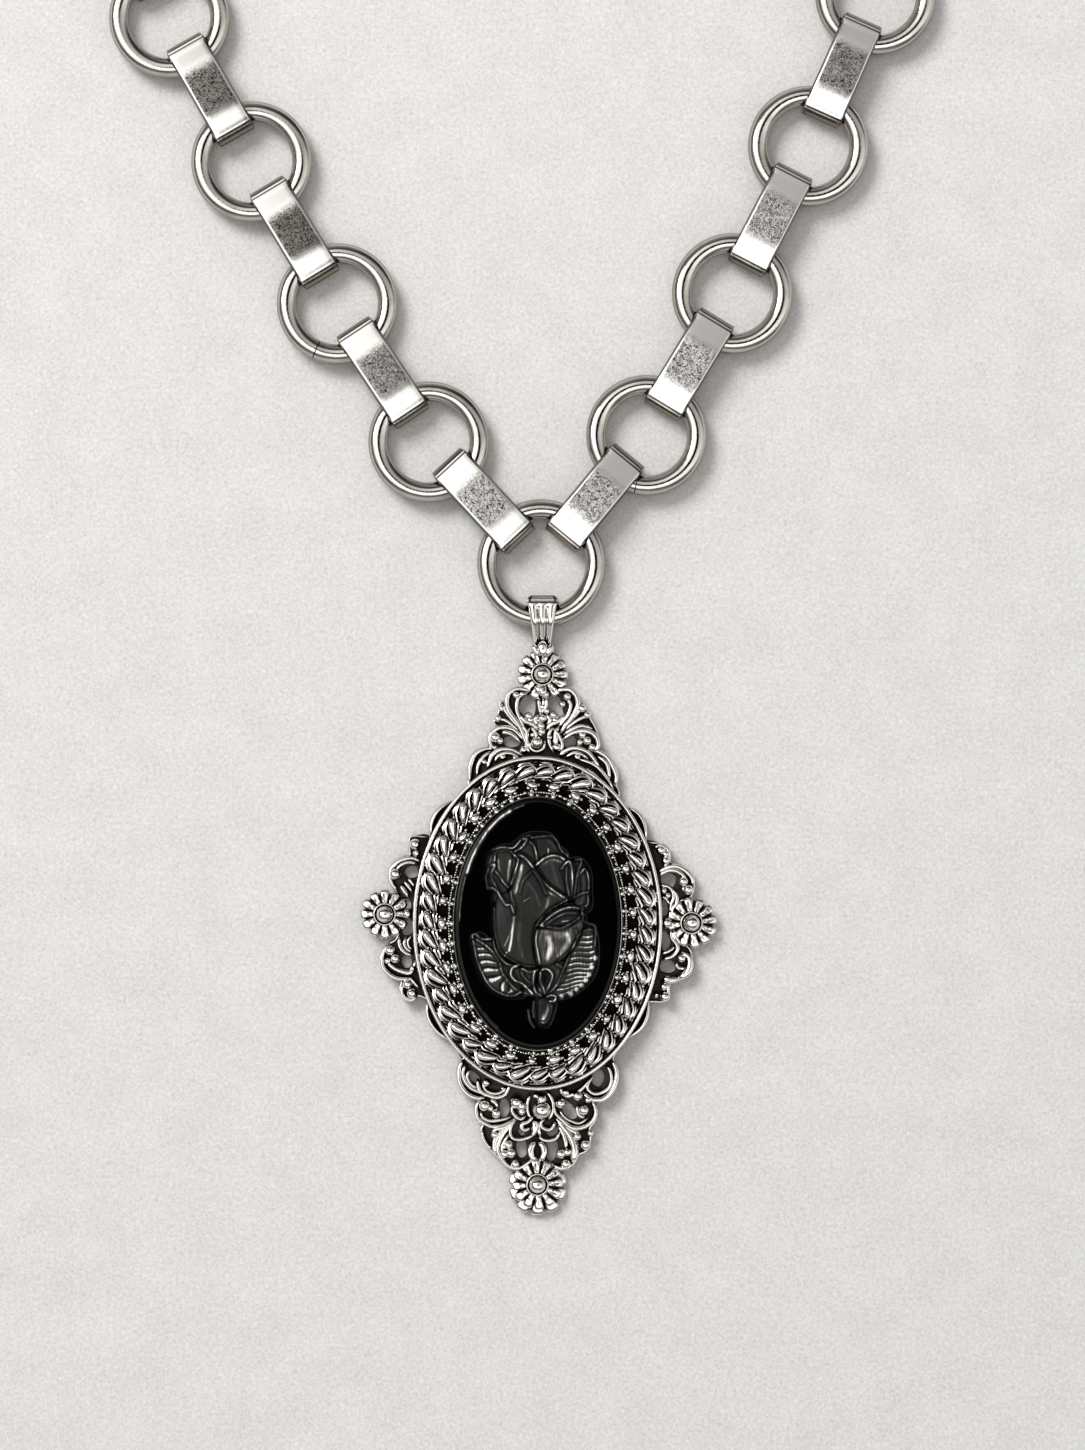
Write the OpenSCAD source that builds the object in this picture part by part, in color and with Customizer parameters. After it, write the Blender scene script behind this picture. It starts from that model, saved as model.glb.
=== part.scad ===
// Cameo pendant necklace, lying flat as a closed loop.
// Round wire rings are joined by folded strap links. The centre ring holds a fluted bail, and the
// bail holds a pierced filigree frame with an oval setting and a black oval cameo carved with a rosebud.
// +Z is up from the surface that it lies on, and +Y runs from the pendant to the clasp.

/* [Chain rings] */
// Outer diameter of a chain ring
ring_od = 14.6; // [14.4:0.1:14.8]
// Outer diameter of the centre ring, which carries the pendant
centre_ring_od = 15.5; // [15.2:0.1:15.8]
// Thickness of the round wire of every ring
wire_d = 2.4; // [2.3:0.1:2.5]
// Distance from one ring's centre to the next
pitch = 20.0; // [19.9:0.1:20.2]

/* [Strap links] */
// Width of a strap link
strap_w = 5.0; // [4.4:0.1:5.0]
// Thickness of the strap's metal
strap_t = 0.7; // [0.6:0.1:0.8]
// Outer length of a strap link
strap_l = 13.4; // [13.3:0.1:13.6]
// Radius of the strap's outer bends
strap_bend_r = 1.6; // [1.4:0.1:1.7]
// Clear space between the wire and the strap, above and below
wire_gap = 0.15; // [0.1:0.05:0.2]

/* [Bail] */
// Width of the bail at its top
bail_top_w = 3.4; // [3.2:0.1:3.6]
// Width of the bail's face at its foot
bail_foot_w = 2.1; // [1.9:0.1:2.3]
// Thickness of the bail's metal
bail_t = 0.5; // [0.4:0.05:0.5]

/* [Filigree frame] */
// Height of the cast scrolls above the surface
scroll_h = 1.9; // [1.7:0.1:2.0]
// Radius of a daisy, out to its petal tips
daisy_r = 2.9; // [2.8:0.05:2.9]
// Number of petals on a daisy
daisy_petals = 12; // [10:1:13]

/* [Oval setting] */
// Half width of the setting's outer rim
rim_r = 15.05; // [15:0.05:15.1]
// Height of the bezel's upper edge above the surface
bezel_top = 4.1; // [4:0.1:4.2]
// Number of leaves in the rope wreath
wreath_leaves = 40; // [38:1:42]
// Number of beads between the wreath and the bezel
gallery_beads = 31; // [28:1:32]

/* [Cameo stone] */
// Half width of the stone where it shows
stone_r = 9.9; // [9.8:0.05:9.95]
// Height of the dome above the stone's upper edge
dome_rise = 1.0; // [0.8:0.1:1.2]

/* [Hidden] */
SIDES = ["left", "right"];
rings_per_side = 10;
$fn = 64;
oval_sides = 36;

// Colours: bright plated wire, brushed plated strap, darkened cast silver tone and black glass
wire_colour = "silver";
strap_colour = "lightgray";
cast_colour = "darkgray";
stone_colour = "black";

// Places in the plane are measured from the stone's centre
ring_r = (ring_od - wire_d) / 2;
centre_ring_r = (centre_ring_od - wire_d) / 2;
ring_z = strap_t + wire_gap + wire_d / 2;
centre_ring_at = [0.45, 43.4];

// Headings of the visible pitches from the X axis, counted from the centre ring
seen_left = [47.2, 56.5, 58.9, 60.3];
seen_right = [50.6, 58.8, 62.7, 66.1];
// The hidden pitches: a first small turn, then an even turn round the back of the neck
first_turn_left = 2;
first_turn_right = -4;
back_turn_left = 17.5;
back_turn_right = 18;

function heading(k, seen, first, turn) =
    k < len(seen) ? seen[k] : seen[len(seen) - 1] + first + (k - len(seen)) * turn;
function pitch_heading(side, k) = side == "left"
    ? 180 - heading(k, seen_left, first_turn_left, back_turn_left)
    : heading(k, seen_right, first_turn_right, back_turn_right);
function along(angle, distance) = distance * [cos(angle), sin(angle)];
function ring_at(side, k) = k == 0
    ? centre_ring_at
    : ring_at(side, k - 1) + along(pitch_heading(side, k - 1), pitch);

// The first strap on each side sits a little further out, because the centre ring is larger
function strap_shift(k) = k == 1 ? (centre_ring_r + pitch - ring_r) / 2 : pitch / 2;
function strap_at(side, k) = ring_at(side, k - 1) + along(pitch_heading(side, k - 1), strap_shift(k));

last_left = ring_at("left", rings_per_side);
last_right = ring_at("right", rings_per_side);
clasp_span = norm(last_right - last_left);
clasp_angle = atan2(last_right.y - last_left.y, last_right.x - last_left.x);
clasp_l = clasp_span - pitch + strap_l;
slot_clear = 0.3;
clasp_slot_start = clasp_span / 2 - ring_r - wire_d / 2 - slot_clear;

// The bail: a folded strap from the centre ring's lower wire to a small eye behind the top daisy
daisy_top_at = [0.6, 30.0];
eye_wire_d = 0.6;
eye_r = 1.1;
eye_z = 1.15;
bail_gap = 0.2;
bail_foot_y = daisy_top_at.y + 3.1;
eye_bar_y = bail_foot_y + eye_r;
bail_top_y = 39.5;
bail_knee_y = 36.2;
bail_corner_r = 0.9;
bail_foot_r = eye_wire_d / 2 + bail_gap + bail_t;
bail_low_z = 0.15;
bail_high_z = ring_z + wire_d / 2 + wire_gap + bail_t;
bail_neck_w = 0.7;
flute_r = 0.3;
flute_top_x = 0.62;
flute_foot_x = 0.36;
flute_depth = 0.4;
flute_foot_depth = 0.55;

// The oval: every band is the stone's outline moved outwards, so its length exceeds its width by a fixed sum
oval_extra = 5.1;
band_in = 11.2;
band_out = 15.25;
band_h = 0.8;
cast_gap = 0.1;
rim_in = 14.4;
rim_top = 3.0;
groove_z = 2.1;
wreath_r = 13.1;
leaf_lean = 32;
leaf_root = 0.2;
bead_r = 11.4;
bead_size = 0.62;
bridge_z = 1.8;
bead_top = 3.5;
plate_z = band_h + cast_gap;
band_lap = 0.3;
bezel_lip = 0.2;
bezel_out = 10.6;
seat_z = 1.3;
stone_foot_z = seat_z + cast_gap;
stone_foot_r = 10.2;
girdle_z = 2.6;
stone_edge_z = 3.8;

function oval_point(r, t) = [r * cos(t), (r + oval_extra) * sin(t)];
function oval_tangent(r, t) = atan2((r + oval_extra) * cos(t), -r * sin(t));
// Angles that space things evenly along an oval
function even_angle(i, count, r) =
    let (turn = 360 * i / count, flat = oval_extra / (2 * r + oval_extra))
    turn - flat / 2 * (180 / PI) * sin(2 * turn);

// The pierced frame is a low plate cut through by gaps, with scrolls, leaves and balls raised on it.
// Places are the distance from the ornament's own axis and the height above the stone's centre, in half
// an ornament that is mirrored about its axis.
// Gaps: place across, place up, half width, half height, turn.
// Scrolls and leaves: width at the root, width at the tip, then the points from root to tip.
// Balls: place across, place up, radius.
top_axis_x = 0.6;
top_outline = [
    [0, 28.5], [2.6, 28.3], [3.9, 28.2], [4.4, 27.4], [5.4, 26.9], [5.9, 25.6], [5.9, 24.4],
    [6.3, 23.6], [6.7, 22.4], [6.6, 21.3], [7.4, 21.1], [8.5, 20.4], [9.1, 19.0], [9.1, 15.5],
    [0, 15.5]];
top_gaps = [
    [1.85, 26.1, 0.9, 1.4, 12], [3.8, 21.95, 0.85, 0.5, 0], [4.5, 19.9, 1.1, 0.5, -15],
    [7.4, 18.8, 0.45, 0.9, 0]];
top_scrolls = [
    [1.1, 0.9, [[1.5, 20.6], [2.0, 23.0], [3.0, 24.3], [3.8, 25.5], [4.1, 27.0], [3.6, 27.9], [2.8, 27.7]]],
    [0.7, 0.6, [[1.8, 22.6], [2.7, 24.8], [3.1, 26.6]]],
    [1.0, 0.8, [[2.3, 22.4], [3.8, 24.1], [5.0, 26.3]]],
    [1.0, 0.8, [[2.6, 22.6], [4.2, 23.9], [5.4, 24.9]]],
    [1.1, 0.9, [[2.0, 20.9], [2.8, 22.7], [4.2, 23.3], [5.5, 23.2], [6.2, 22.2], [6.0, 21.5]]],
    [1.0, 0.8, [[2.2, 20.0], [3.0, 20.9], [4.3, 21.2], [5.6, 20.9], [6.4, 19.8], [6.5, 18.4]]],
    [1.1, 0.9, [[5.6, 21.0], [7.2, 20.7], [8.3, 19.9], [8.7, 18.6], [8.7, 16.8]]],
    [0.8, 0.7, [[0.9, 20.2], [1.5, 22.0], [0.9, 23.6]]]];
top_balls = [[3.3, 27.1, 0.6], [5.3, 22.0, 0.7], [5.2, 19.9, 0.4], [1.2, 24.5, 0.6]];
top_stem = [1.1, 1.1, [[0, 28.0], [0, 24.0]]];
top_bead = [0, 21.8, 0.75];

bottom_axis_x = -0.1;
bottom_outline = [
    [0, -15.5], [8.6, -15.5], [9.8, -17.6], [9.9, -19.2], [9.3, -20.6], [8.2, -21.3], [7.2, -21.6],
    [7.5, -22.5], [7.2, -23.8], [6.6, -24.4], [6.9, -25.2], [6.5, -26.3], [5.8, -27.2], [5.3, -28.3],
    [4.6, -29.1], [3.6, -29.6], [2.2, -29.8], [0, -30]];
bottom_gaps = [
    [7.7, -18.4, 0.65, 0.95, 20], [4.8, -19.8, 1.0, 0.55, 15], [3.8, -22.4, 0.6, 1.1, 0],
    [1.7, -27.4, 0.65, 1.05, 0], [1.75, -25.0, 0.6, 0.45, 0]];
bottom_scrolls = [
    [1.1, 0.9, [[8.6, -16.6], [9.3, -18.3], [8.9, -20.0], [7.9, -20.8], [6.7, -20.6]]],
    [0.8, 0.7, [[6.7, -18.8], [6.5, -20.2], [5.7, -21.0], [4.6, -21.0], [3.7, -20.4], [3.3, -19.4]]],
    [1.1, 0.9, [[2.6, -23.7], [4.0, -24.1], [5.6, -24.1], [6.7, -23.5], [7.0, -22.5], [6.5, -21.4]]],
    [1.0, 0.8, [[2.8, -23.8], [4.6, -24.9], [6.3, -25.1]]],
    [1.0, 0.8, [[2.8, -23.9], [4.7, -25.6], [5.8, -26.8]]],
    [1.1, 0.9, [[2.6, -23.8], [3.6, -25.2], [4.6, -26.8], [4.6, -28.2], [3.7, -29.0], [2.4, -29.3],
        [1.0, -28.7]]],
    [0.8, 0.8, [[2.6, -24.3], [2.7, -25.3], [1.9, -26.0], [0.8, -25.8], [0.2, -25.0]]]];
bottom_balls = [[6.0, -22.4, 0.85], [3.5, -27.5, 0.8], [2.1, -22.3, 1.0], [5.6, -19.4, 0.4]];
bottom_bead = [0, -22.5, 1.0];
bottom_bud = [2.0, 1.2, [[0, -26.4], [0, -27.6], [0, -28.8]]];
bottom_stem = [0.9, 0.9, [[0, -20.3], [0, -26.4]]];

side_outline = [
    [13, 9.0], [14.4, 9.5], [15.6, 9.4], [15.8, 8.3], [15.5, 7.6], [17.3, 7.3], [18.6, 6.1],
    [18.7, 4.6], [18.6, 0.3], [18.2, -2.8], [18.9, -4.2], [18.9, -5.6], [17.8, -7.2], [16.2, -7.8],
    [16.3, -9.2], [15.3, -9.8], [13.8, -9.5], [13, -6]];
side_gaps = [
    [15.1, 5.7, 0.75, 0.55, 0], [15.8, 1.7, 0.45, 0.7, 0], [15.75, -1.2, 0.6, 0.8, 0],
    [15.7, -5.4, 0.65, 0.6, 0]];
side_scrolls = [
    [1.1, 0.9, [[14.5, 6.8], [16.2, 6.9], [17.5, 6.3], [18.0, 5.3], [17.7, 4.3], [16.8, 3.6], [15.1, 2.6]]],
    [0.8, 0.8, [[14.9, 4.6], [16.4, 3.3]]],
    [1.2, 1.2, [[14.8, 0.3], [16.4, 0.3]]],
    [0.8, 0.8, [[16.6, -1.6], [16.6, -2.9], [16.0, -3.8], [14.9, -4.1]]],
    [1.1, 0.9, [[14.7, -7.0], [16.9, -7.0], [18.1, -6.1], [18.4, -4.8], [17.8, -3.4]]]];
side_balls = [[14.9, 8.6, 0.8], [17.0, 5.1, 0.8], [17.6, -4.5, 0.85], [15.2, -8.7, 0.9]];
// The side ornaments sit a little askew: the left one high and the right one low
side_lift = 0.45;

// Small scroll backs that show beyond the rim on its four diagonals
diagonal_scroll = [1.6, 1.2, [[12.2, 12.2], [11.6, 13.4], [10.6, 14.9]]];

// Daisies at the four points: place of the centre from the stone's centre
daisies = [daisy_top_at, [-18.45, 1.05], [18.6, 0.0], [0.0, -31.7]];
daisy_disc_h = 1.5;
daisy_bead_r = 0.95;
petal_inner_r = 1.3;
petal_w = [0.6, 1.7];
petal_h = 2.3;
// The lowest daisy has a second, lower layer of petals
under_petals = 8;
under_r = 3.7;
under_petal_w = [1.0, 2.6];
under_petal_h = 1.7;
plate_h = 0.9;
relief_from = 0.3;

// The rosebud: each row is one carved form, as its height over the dome and the corners of its outline
carved_forms = [
    [0.5, [[-2.8, 9.2], [-1.3, 10.4], [1.6, 10.3], [2.6, 9.0], [3.7, 8.0], [0.0, 5.0]]],
    [0.6, [[0.1, 7.2], [2.1, 8.2], [4.0, 7.3], [5.9, 6.2], [5.9, 2.0], [3.7, 2.6]]],
    [0.7, [[-6.0, 6.8], [-5.1, 8.6], [-2.9, 9.0], [-2.3, 7.8], [-3.6, 3.9], [-6.0, 4.2]]],
    [0.9, [[-2.4, 8.1], [3.4, 2.8], [-0.4, 0.1], [0.0, -4.8], [-2.1, -4.8], [-4.3, -3.6], [-4.9, 2.0]]],
    [0.7, [[0.4, -0.4], [5.0, 0.6], [4.2, -2.4], [2.7, -4.4], [0.4, -4.9]]],
    [1.0, [[0.5, -0.2], [2.3, 1.2], [4.8, 1.6], [4.0, 0.3]]],
    [0.35, [[-3.1, -5.0], [3.0, -4.8], [2.8, -7.0], [1.5, -8.5], [-0.2, -8.3], [-2.8, -6.6]]],
    [0.3, [[-2.4, -8.2], [-4.6, -5.2], [-5.6, -2.4], [-7.2, -1.8], [-7.4, -4.8], [-5.5, -7.5], [-3.2, -8.5]]],
    [0.3, [[2.2, -8.2], [3.2, -5.2], [4.7, -2.4], [6.6, -0.5], [7.0, -3.6], [6.7, -6.2], [4.8, -8.0]]]];
// Raised lines of the carving: width at both ends, height over the dome and the points
carved_lines = [
    [0.4, 0.4, 1.1, [[-2.5, 8.4], [-0.4, 6.8], [1.6, 4.3], [3.6, 2.9]]],
    [0.4, 0.4, 1.1, [[3.6, 2.8], [1.2, 1.6], [-0.2, 0.3], [-0.4, -2.0], [0.0, -4.8]]],
    [0.4, 0.4, 0.9, [[-2.4, 7.9], [-3.6, 4.0], [-5.6, 6.0]]],
    [0.4, 0.3, 0.6, [[-2.2, -8.1], [-4.7, -6.2], [-6.9, -2.2]]],
    [0.4, 0.3, 0.6, [[2.0, -8.1], [5.0, -6.0], [6.5, -1.0]]],
    [0.9, 0.7, 0.5, [[1.5, -8.7], [0.7, -11.7]]],
    [0.4, 0.3, 0.3, [[-0.3, -9.2], [-0.5, -12.2]]]];
// Ribs of the two leaves: the outer end and the inner end of each
leaf_ribs = [
    [[-7.2, -3.3], [-4.9, -3.9]], [[-7.0, -4.9], [-4.4, -5.3]], [[-6.0, -6.6], [-3.6, -6.3]],
    [[6.8, -2.4], [4.6, -3.2]], [[6.8, -4.4], [4.0, -4.8]], [[6.2, -6.4], [3.2, -6.2]]];
rib_w = 0.35;
rib_h = 0.45;
form_edge_w = 0.7;
relief_root = 2.8;

// Half of the box round the whole necklace, so that its middle lies on the Z axis
ring_places = concat([for (s = SIDES, k = [1:rings_per_side]) ring_at(s, k)]);
low_y = daisies[3].y - under_r;
high_y = max([for (p = ring_places) p.y]) + ring_od / 2;
low_x = min([for (p = ring_places) p.x]) - ring_od / 2;
high_x = max([for (p = ring_places) p.x]) + ring_od / 2;
middle = [(low_x + high_x) / 2, (low_y + high_y) / 2, 0];

module placed() {
    translate(-middle) children();
}

// A rectangle with round corners, from exact arcs
module rounded_box_2d(l, h, r) {
    square([l - 2 * r, h], center = true);
    square([l, h - 2 * r], center = true);
    for (x = [-1, 1], y = [-1, 1])
        translate([x * (l / 2 - r), y * (h / 2 - r)]) circle(r);
}

// A ring of round wire lying flat
module wire_ring(r, d) {
    rotate_extrude() translate([r, 0]) circle(d = d);
}

module centre_ring() {
    color(wire_colour)
        placed() translate([centre_ring_at.x, centre_ring_at.y, ring_z]) wire_ring(centre_ring_r, wire_d);
}

module chain_ring(side, k) {
    place = ring_at(side, k);
    color(wire_colour)
        placed() translate([place.x, place.y, ring_z]) wire_ring(ring_r, wire_d);
}

// A strap folded into a flat loop round the wires of two rings
module strap_link(side, k) {
    place = strap_at(side, k);
    inner_h = wire_d + 2 * wire_gap;
    outer_h = inner_h + 2 * strap_t;
    color(strap_colour)
        placed() translate([place.x, place.y, outer_h / 2]) rotate([0, 0, pitch_heading(side, k - 1)])
            rotate([90, 0, 0]) linear_extrude(strap_w, center = true) difference() {
                rounded_box_2d(strap_l, outer_h, strap_bend_r);
                rounded_box_2d(strap_l - 2 * strap_t, inner_h, strap_bend_r - strap_t);
            }
}

// The hidden clasp: one plain bar with a slot at each end for the last rings
module clasp() {
    inner_h = wire_d + 2 * wire_gap;
    outer_h = inner_h + 2 * strap_t;
    slot_end = clasp_l / 2 - strap_t;
    slot_l = slot_end - clasp_slot_start;
    middle_of_clasp = (last_left + last_right) / 2;
    color(strap_colour)
        placed() translate([middle_of_clasp.x, middle_of_clasp.y, outer_h / 2]) rotate([0, 0, clasp_angle])
            rotate([90, 0, 0]) linear_extrude(strap_w, center = true) difference() {
                rounded_box_2d(clasp_l, outer_h, strap_bend_r);
                for (s = [-1, 1])
                    translate([s * (clasp_slot_start + slot_l / 2), 0])
                        rounded_box_2d(slot_l, inner_h, strap_bend_r - strap_t);
            }
}

// The bail seen from its side: a box round the ring's wire that narrows to a fold at the eye
module bail_outline(grow) {
    r = bail_corner_r + grow;
    hull() {
        for (y = [bail_knee_y, bail_top_y - bail_corner_r])
            for (z = [bail_low_z + bail_corner_r, bail_high_z - bail_corner_r])
                translate([y, z]) circle(r);
        translate([eye_bar_y, eye_z]) circle(bail_foot_r + grow);
    }
}

// A round groove along the bail's face, between two points
module flute(from, to) {
    run = to - from;
    translate(from) rotate([0, 90 - asin(run.z / norm(run)), atan2(run.y, run.x)])
        cylinder(h = norm(run), r = flute_r);
}

module bail() {
    flute_z = bail_high_z + flute_r * flute_depth;
    knee_z = bail_high_z + flute_r * flute_foot_depth;
    foot_z = eye_z + bail_foot_r - flute_r / 2;
    color(cast_colour)
        placed() translate([daisy_top_at.x, 0, 0]) difference() {
            intersection() {
                rotate([90, 0, 90]) linear_extrude(bail_top_w, center = true) difference() {
                    bail_outline(0);
                    bail_outline(-bail_t);
                }
                linear_extrude(bail_high_z + 1) polygon([
                    [-bail_foot_w / 2, bail_foot_y - 1], [bail_foot_w / 2, bail_foot_y - 1],
                    [bail_foot_w / 2, bail_foot_y], [bail_top_w / 2, bail_knee_y + 1],
                    [bail_top_w / 2, bail_top_y + 1], [-bail_top_w / 2, bail_top_y + 1],
                    [-bail_top_w / 2, bail_knee_y + 1], [-bail_foot_w / 2, bail_foot_y]]);
            }
            for (s = [-1, 1]) {
                translate([s * (bail_neck_w + bail_top_w) / 2, bail_foot_y, eye_z - 1])
                    cube([bail_top_w, 3, 2 * (eye_wire_d / 2 + bail_gap + 1)], center = true);
                flute([s * flute_top_x, bail_top_y + 0.2, flute_z], [s * flute_top_x, bail_knee_y, flute_z]);
                flute([s * flute_top_x, bail_knee_y + 0.3, knee_z],
                    [s * flute_foot_x, bail_foot_y - 0.3, foot_z]);
            }
        }
}

// A cast peak with sloping sides: the brush that every scroll, petal and leaf is drawn with
module peak(place, w, h) {
    translate([place.x, place.y, 0]) cylinder(h = h, r1 = w / 2, r2 = 0, $fn = 5);
}

// Half an ornament's plate, cut through by its gaps
module pierced_plate(outline, gaps) {
    linear_extrude(plate_h) difference() {
        polygon(outline);
        for (g = gaps)
            translate([g[0], g[1]]) rotate(g[4]) scale([g[2], g[3]]) circle(1, $fn = 8);
    }
}

// Half an ornament: its plate, scrolls and balls
module half_ornament(outline, gaps, scrolls, balls) {
    pierced_plate(outline, gaps);
    translate([0, 0, relief_from]) {
        for (row = scrolls) scroll(row, scroll_h - relief_from);
        for (row = balls) ball(row);
    }
}

// A scroll drawn through its points, tapering from its root to its tip
module scroll(row, h) {
    path = row[2];
    steps = len(path) - 1;
    function width(i) = row[0] + (row[1] - row[0]) * i / steps;
    for (i = [0:steps - 1])
        hull() {
            peak(path[i], width(i), h);
            peak(path[i + 1], width(i + 1), h);
        }
}

// A stud with a rounded head
module ball_stud(h, r) {
    hull() {
        cylinder(h = h - r * 0.6, r = r, $fn = 6);
        cylinder(h = h, r = r * 0.5, $fn = 6);
    }
}

// A cast ball that rises a little above the scrolls
module ball(row) {
    translate([row[0], row[1], 0]) ball_stud(scroll_h - relief_from + 0.3, row[2]);
}

module mirrored(axis_x) {
    translate([axis_x, 0, 0]) {
        children();
        mirror([1, 0, 0]) children();
    }
}

// A ring of petals, each wider at its outer end
module petals(count, r_in, r_out, w, h, first_angle) {
    for (i = [0:count - 1])
        rotate([0, 0, first_angle + 360 * i / count]) translate([0, 0, relief_from]) hull() {
            peak([r_in, 0], w[0], h - relief_from - 0.3);
            peak([r_out - w[1] / 2, 0], w[1], h - relief_from);
        }
}

module daisy(place, has_under_petals) {
    translate([place.x, place.y, 0]) {
        cylinder(h = daisy_disc_h, r = daisy_r - 0.4, $fn = 10);
        petals(daisy_petals, petal_inner_r, daisy_r, petal_w, petal_h, 15);
        translate([0, 0, petal_h - 0.1]) sphere(daisy_bead_r, $fn = 8);
        if (has_under_petals) petals(under_petals, petal_inner_r, under_r, under_petal_w, under_petal_h, 270);
    }
}

module oval(r) {
    scale([1, (r + oval_extra) / r]) circle(r, $fn = oval_sides);
}

module oval_band(r_out, r_in, z_low, z_high) {
    translate([0, 0, z_low]) linear_extrude(z_high - z_low) difference() {
        oval(r_out);
        oval(r_in);
    }
}

// One casting: a flat oval band under the setting, four pierced ornaments and the bail's eye
module filigree_frame() {
    color(cast_colour) placed() {
        difference() {
            union() {
                mirrored(top_axis_x) half_ornament(top_outline, top_gaps, top_scrolls, top_balls);
                mirrored(bottom_axis_x)
                    half_ornament(bottom_outline, bottom_gaps, bottom_scrolls, bottom_balls);
                translate([top_axis_x, 0, relief_from]) {
                    scroll(top_stem, scroll_h - relief_from);
                    ball(top_bead);
                }
                translate([bottom_axis_x, 0, relief_from]) {
                    scroll(bottom_stem, scroll_h - relief_from - 0.3);
                    scroll(bottom_bud, scroll_h - relief_from + 0.3);
                    ball(bottom_bead);
                }
                for (s = [-1, 1])
                    translate([0, -s * side_lift, 0]) scale([s, 1, 1])
                        half_ornament(side_outline, side_gaps, side_scrolls, side_balls);
                for (s = [-1, 1])
                    mirrored(0) scale([1, s, 1]) scroll(diagonal_scroll, scroll_h - 0.3);
                for (i = [0:3]) daisy(daisies[i], i == 3);
                linear_extrude(band_h) oval(band_out);
            }
            translate([0, 0, band_h]) linear_extrude(2 * scroll_h) oval(rim_r + cast_gap);
            translate([0, 0, -1]) linear_extrude(band_h + 2) oval(band_in);
        }
        translate([daisy_top_at.x, bail_foot_y, eye_z])
            rotate_extrude($fn = 16) translate([eye_r, 0]) circle(d = eye_wire_d, $fn = 6);
    }
}

// One leaf of the rope wreath, leaning across the band
module wreath_leaf(t) {
    place = oval_point(wreath_r, t);
    heading = oval_tangent(wreath_r, t) - leaf_lean;
    translate([place.x, place.y, groove_z - leaf_root]) rotate([0, 0, heading]) hull() {
        peak([-1.2, -0.1], 1.1, 1.1);
        peak([0.1, 0.1], 2.1, 1.9);
        peak([1.2, 0.2], 1.0, 1.1);
    }
}

// The setting: rim wire, groove, rope wreath, beaded gallery with deep windows, and the bezel
module oval_setting() {
    color(cast_colour) placed() difference() {
        union() {
            translate([0, 0, plate_z]) linear_extrude(seat_z - plate_z) oval(rim_in + band_lap);
            oval_band(rim_r, rim_in, plate_z, rim_top);
            oval_band(rim_in + band_lap / 2, bead_r - bead_size / 2, seat_z - band_lap, groove_z);
            for (i = [0:wreath_leaves - 1]) wreath_leaf(even_angle(i, wreath_leaves, wreath_r));
            for (i = [0:gallery_beads - 1]) {
                t = even_angle(i, gallery_beads, bead_r);
                place = oval_point(bead_r, t);
                bridge = oval_point(bezel_out - 0.1, t);
                hull() {
                    translate([place.x, place.y, bridge_z]) ball_stud(bead_top - bridge_z, bead_size);
                    translate([0, 0, bridge_z]) peak(bridge, 0.8, 0.9);
                }
            }
            hull() {
                translate([0, 0, plate_z]) linear_extrude(girdle_z - plate_z) oval(bezel_out);
                translate([0, 0, bezel_top - bezel_lip]) linear_extrude(bezel_lip) oval(stone_r + 0.5);
            }
        }
        hull() {
            translate([0, 0, seat_z]) linear_extrude(girdle_z - seat_z) oval(stone_foot_r + cast_gap);
            translate([0, 0, bezel_top]) linear_extrude(1) oval(stone_r + cast_gap);
        }
    }
}

// Height of the dome over the surface at a place on the stone
function dome_z(p) =
    stone_edge_z + dome_rise * (1 - pow(p.x / stone_r, 2) - pow(p.y / (stone_r + oval_extra), 2));

// A carved stud that follows the dome
module carved_stud(p, w, h) {
    translate([p.x, p.y, relief_root])
        cylinder(h = dome_z(p) + h - relief_root, r1 = w * 0.6, r2 = w * 0.35, $fn = 6);
}

module carved_form(row) {
    hull() for (p = row[1]) carved_stud(p, form_edge_w, row[0]);
}

module carved_line(row) {
    path = row[3];
    steps = len(path) - 1;
    for (i = [0:steps - 1])
        hull() {
            carved_stud(path[i], row[0] + (row[1] - row[0]) * i / steps, row[2]);
            carved_stud(path[i + 1], row[0] + (row[1] - row[0]) * (i + 1) / steps, row[2]);
        }
}

// The black oval: a tapering edge, a low dome and the raised rosebud with its two leaves
module cameo_stone() {
    dome_steps = 5;
    dome_slice = 0.01;
    color(stone_colour) placed() {
        hull() {
            translate([0, 0, stone_foot_z])
                linear_extrude(girdle_z - stone_foot_z - cast_gap) oval(stone_foot_r);
            for (i = [0:dome_steps]) {
                out = cos(90 * i / (dome_steps + 1));
                translate([0, 0, stone_edge_z + dome_rise * (1 - out * out)])
                    linear_extrude(dome_slice) scale(out) oval(stone_r);
            }
        }
        for (row = carved_forms) carved_form(row);
        for (row = carved_lines) carved_line(row);
        for (rib = leaf_ribs) hull() {
            carved_stud(rib[0], rib_w, rib_h);
            carved_stud(rib[1], rib_w, rib_h);
        }
    }
}

centre_ring();
clasp();
bail();
filigree_frame();
oval_setting();
cameo_stone();
for (s = SIDES, k = [1:rings_per_side]) {
    chain_ring(s, k);
    strap_link(s, k);
}
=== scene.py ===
"""A cameo pendant necklace in antiqued silver plate, dressed for the studio.

Shapes are drawn in millimetres about a place of their own, with z counted
from the surface the necklace lies on, and are moved to the necklace's frame
in metres when a piece is finished.
"""

import logging
import math
import random
from dataclasses import dataclass
from enum import Enum
from typing import Any, Iterable, Mapping, Sequence

import bmesh
import bpy
import numpy as np
from mathutils import Matrix, Vector


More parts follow.
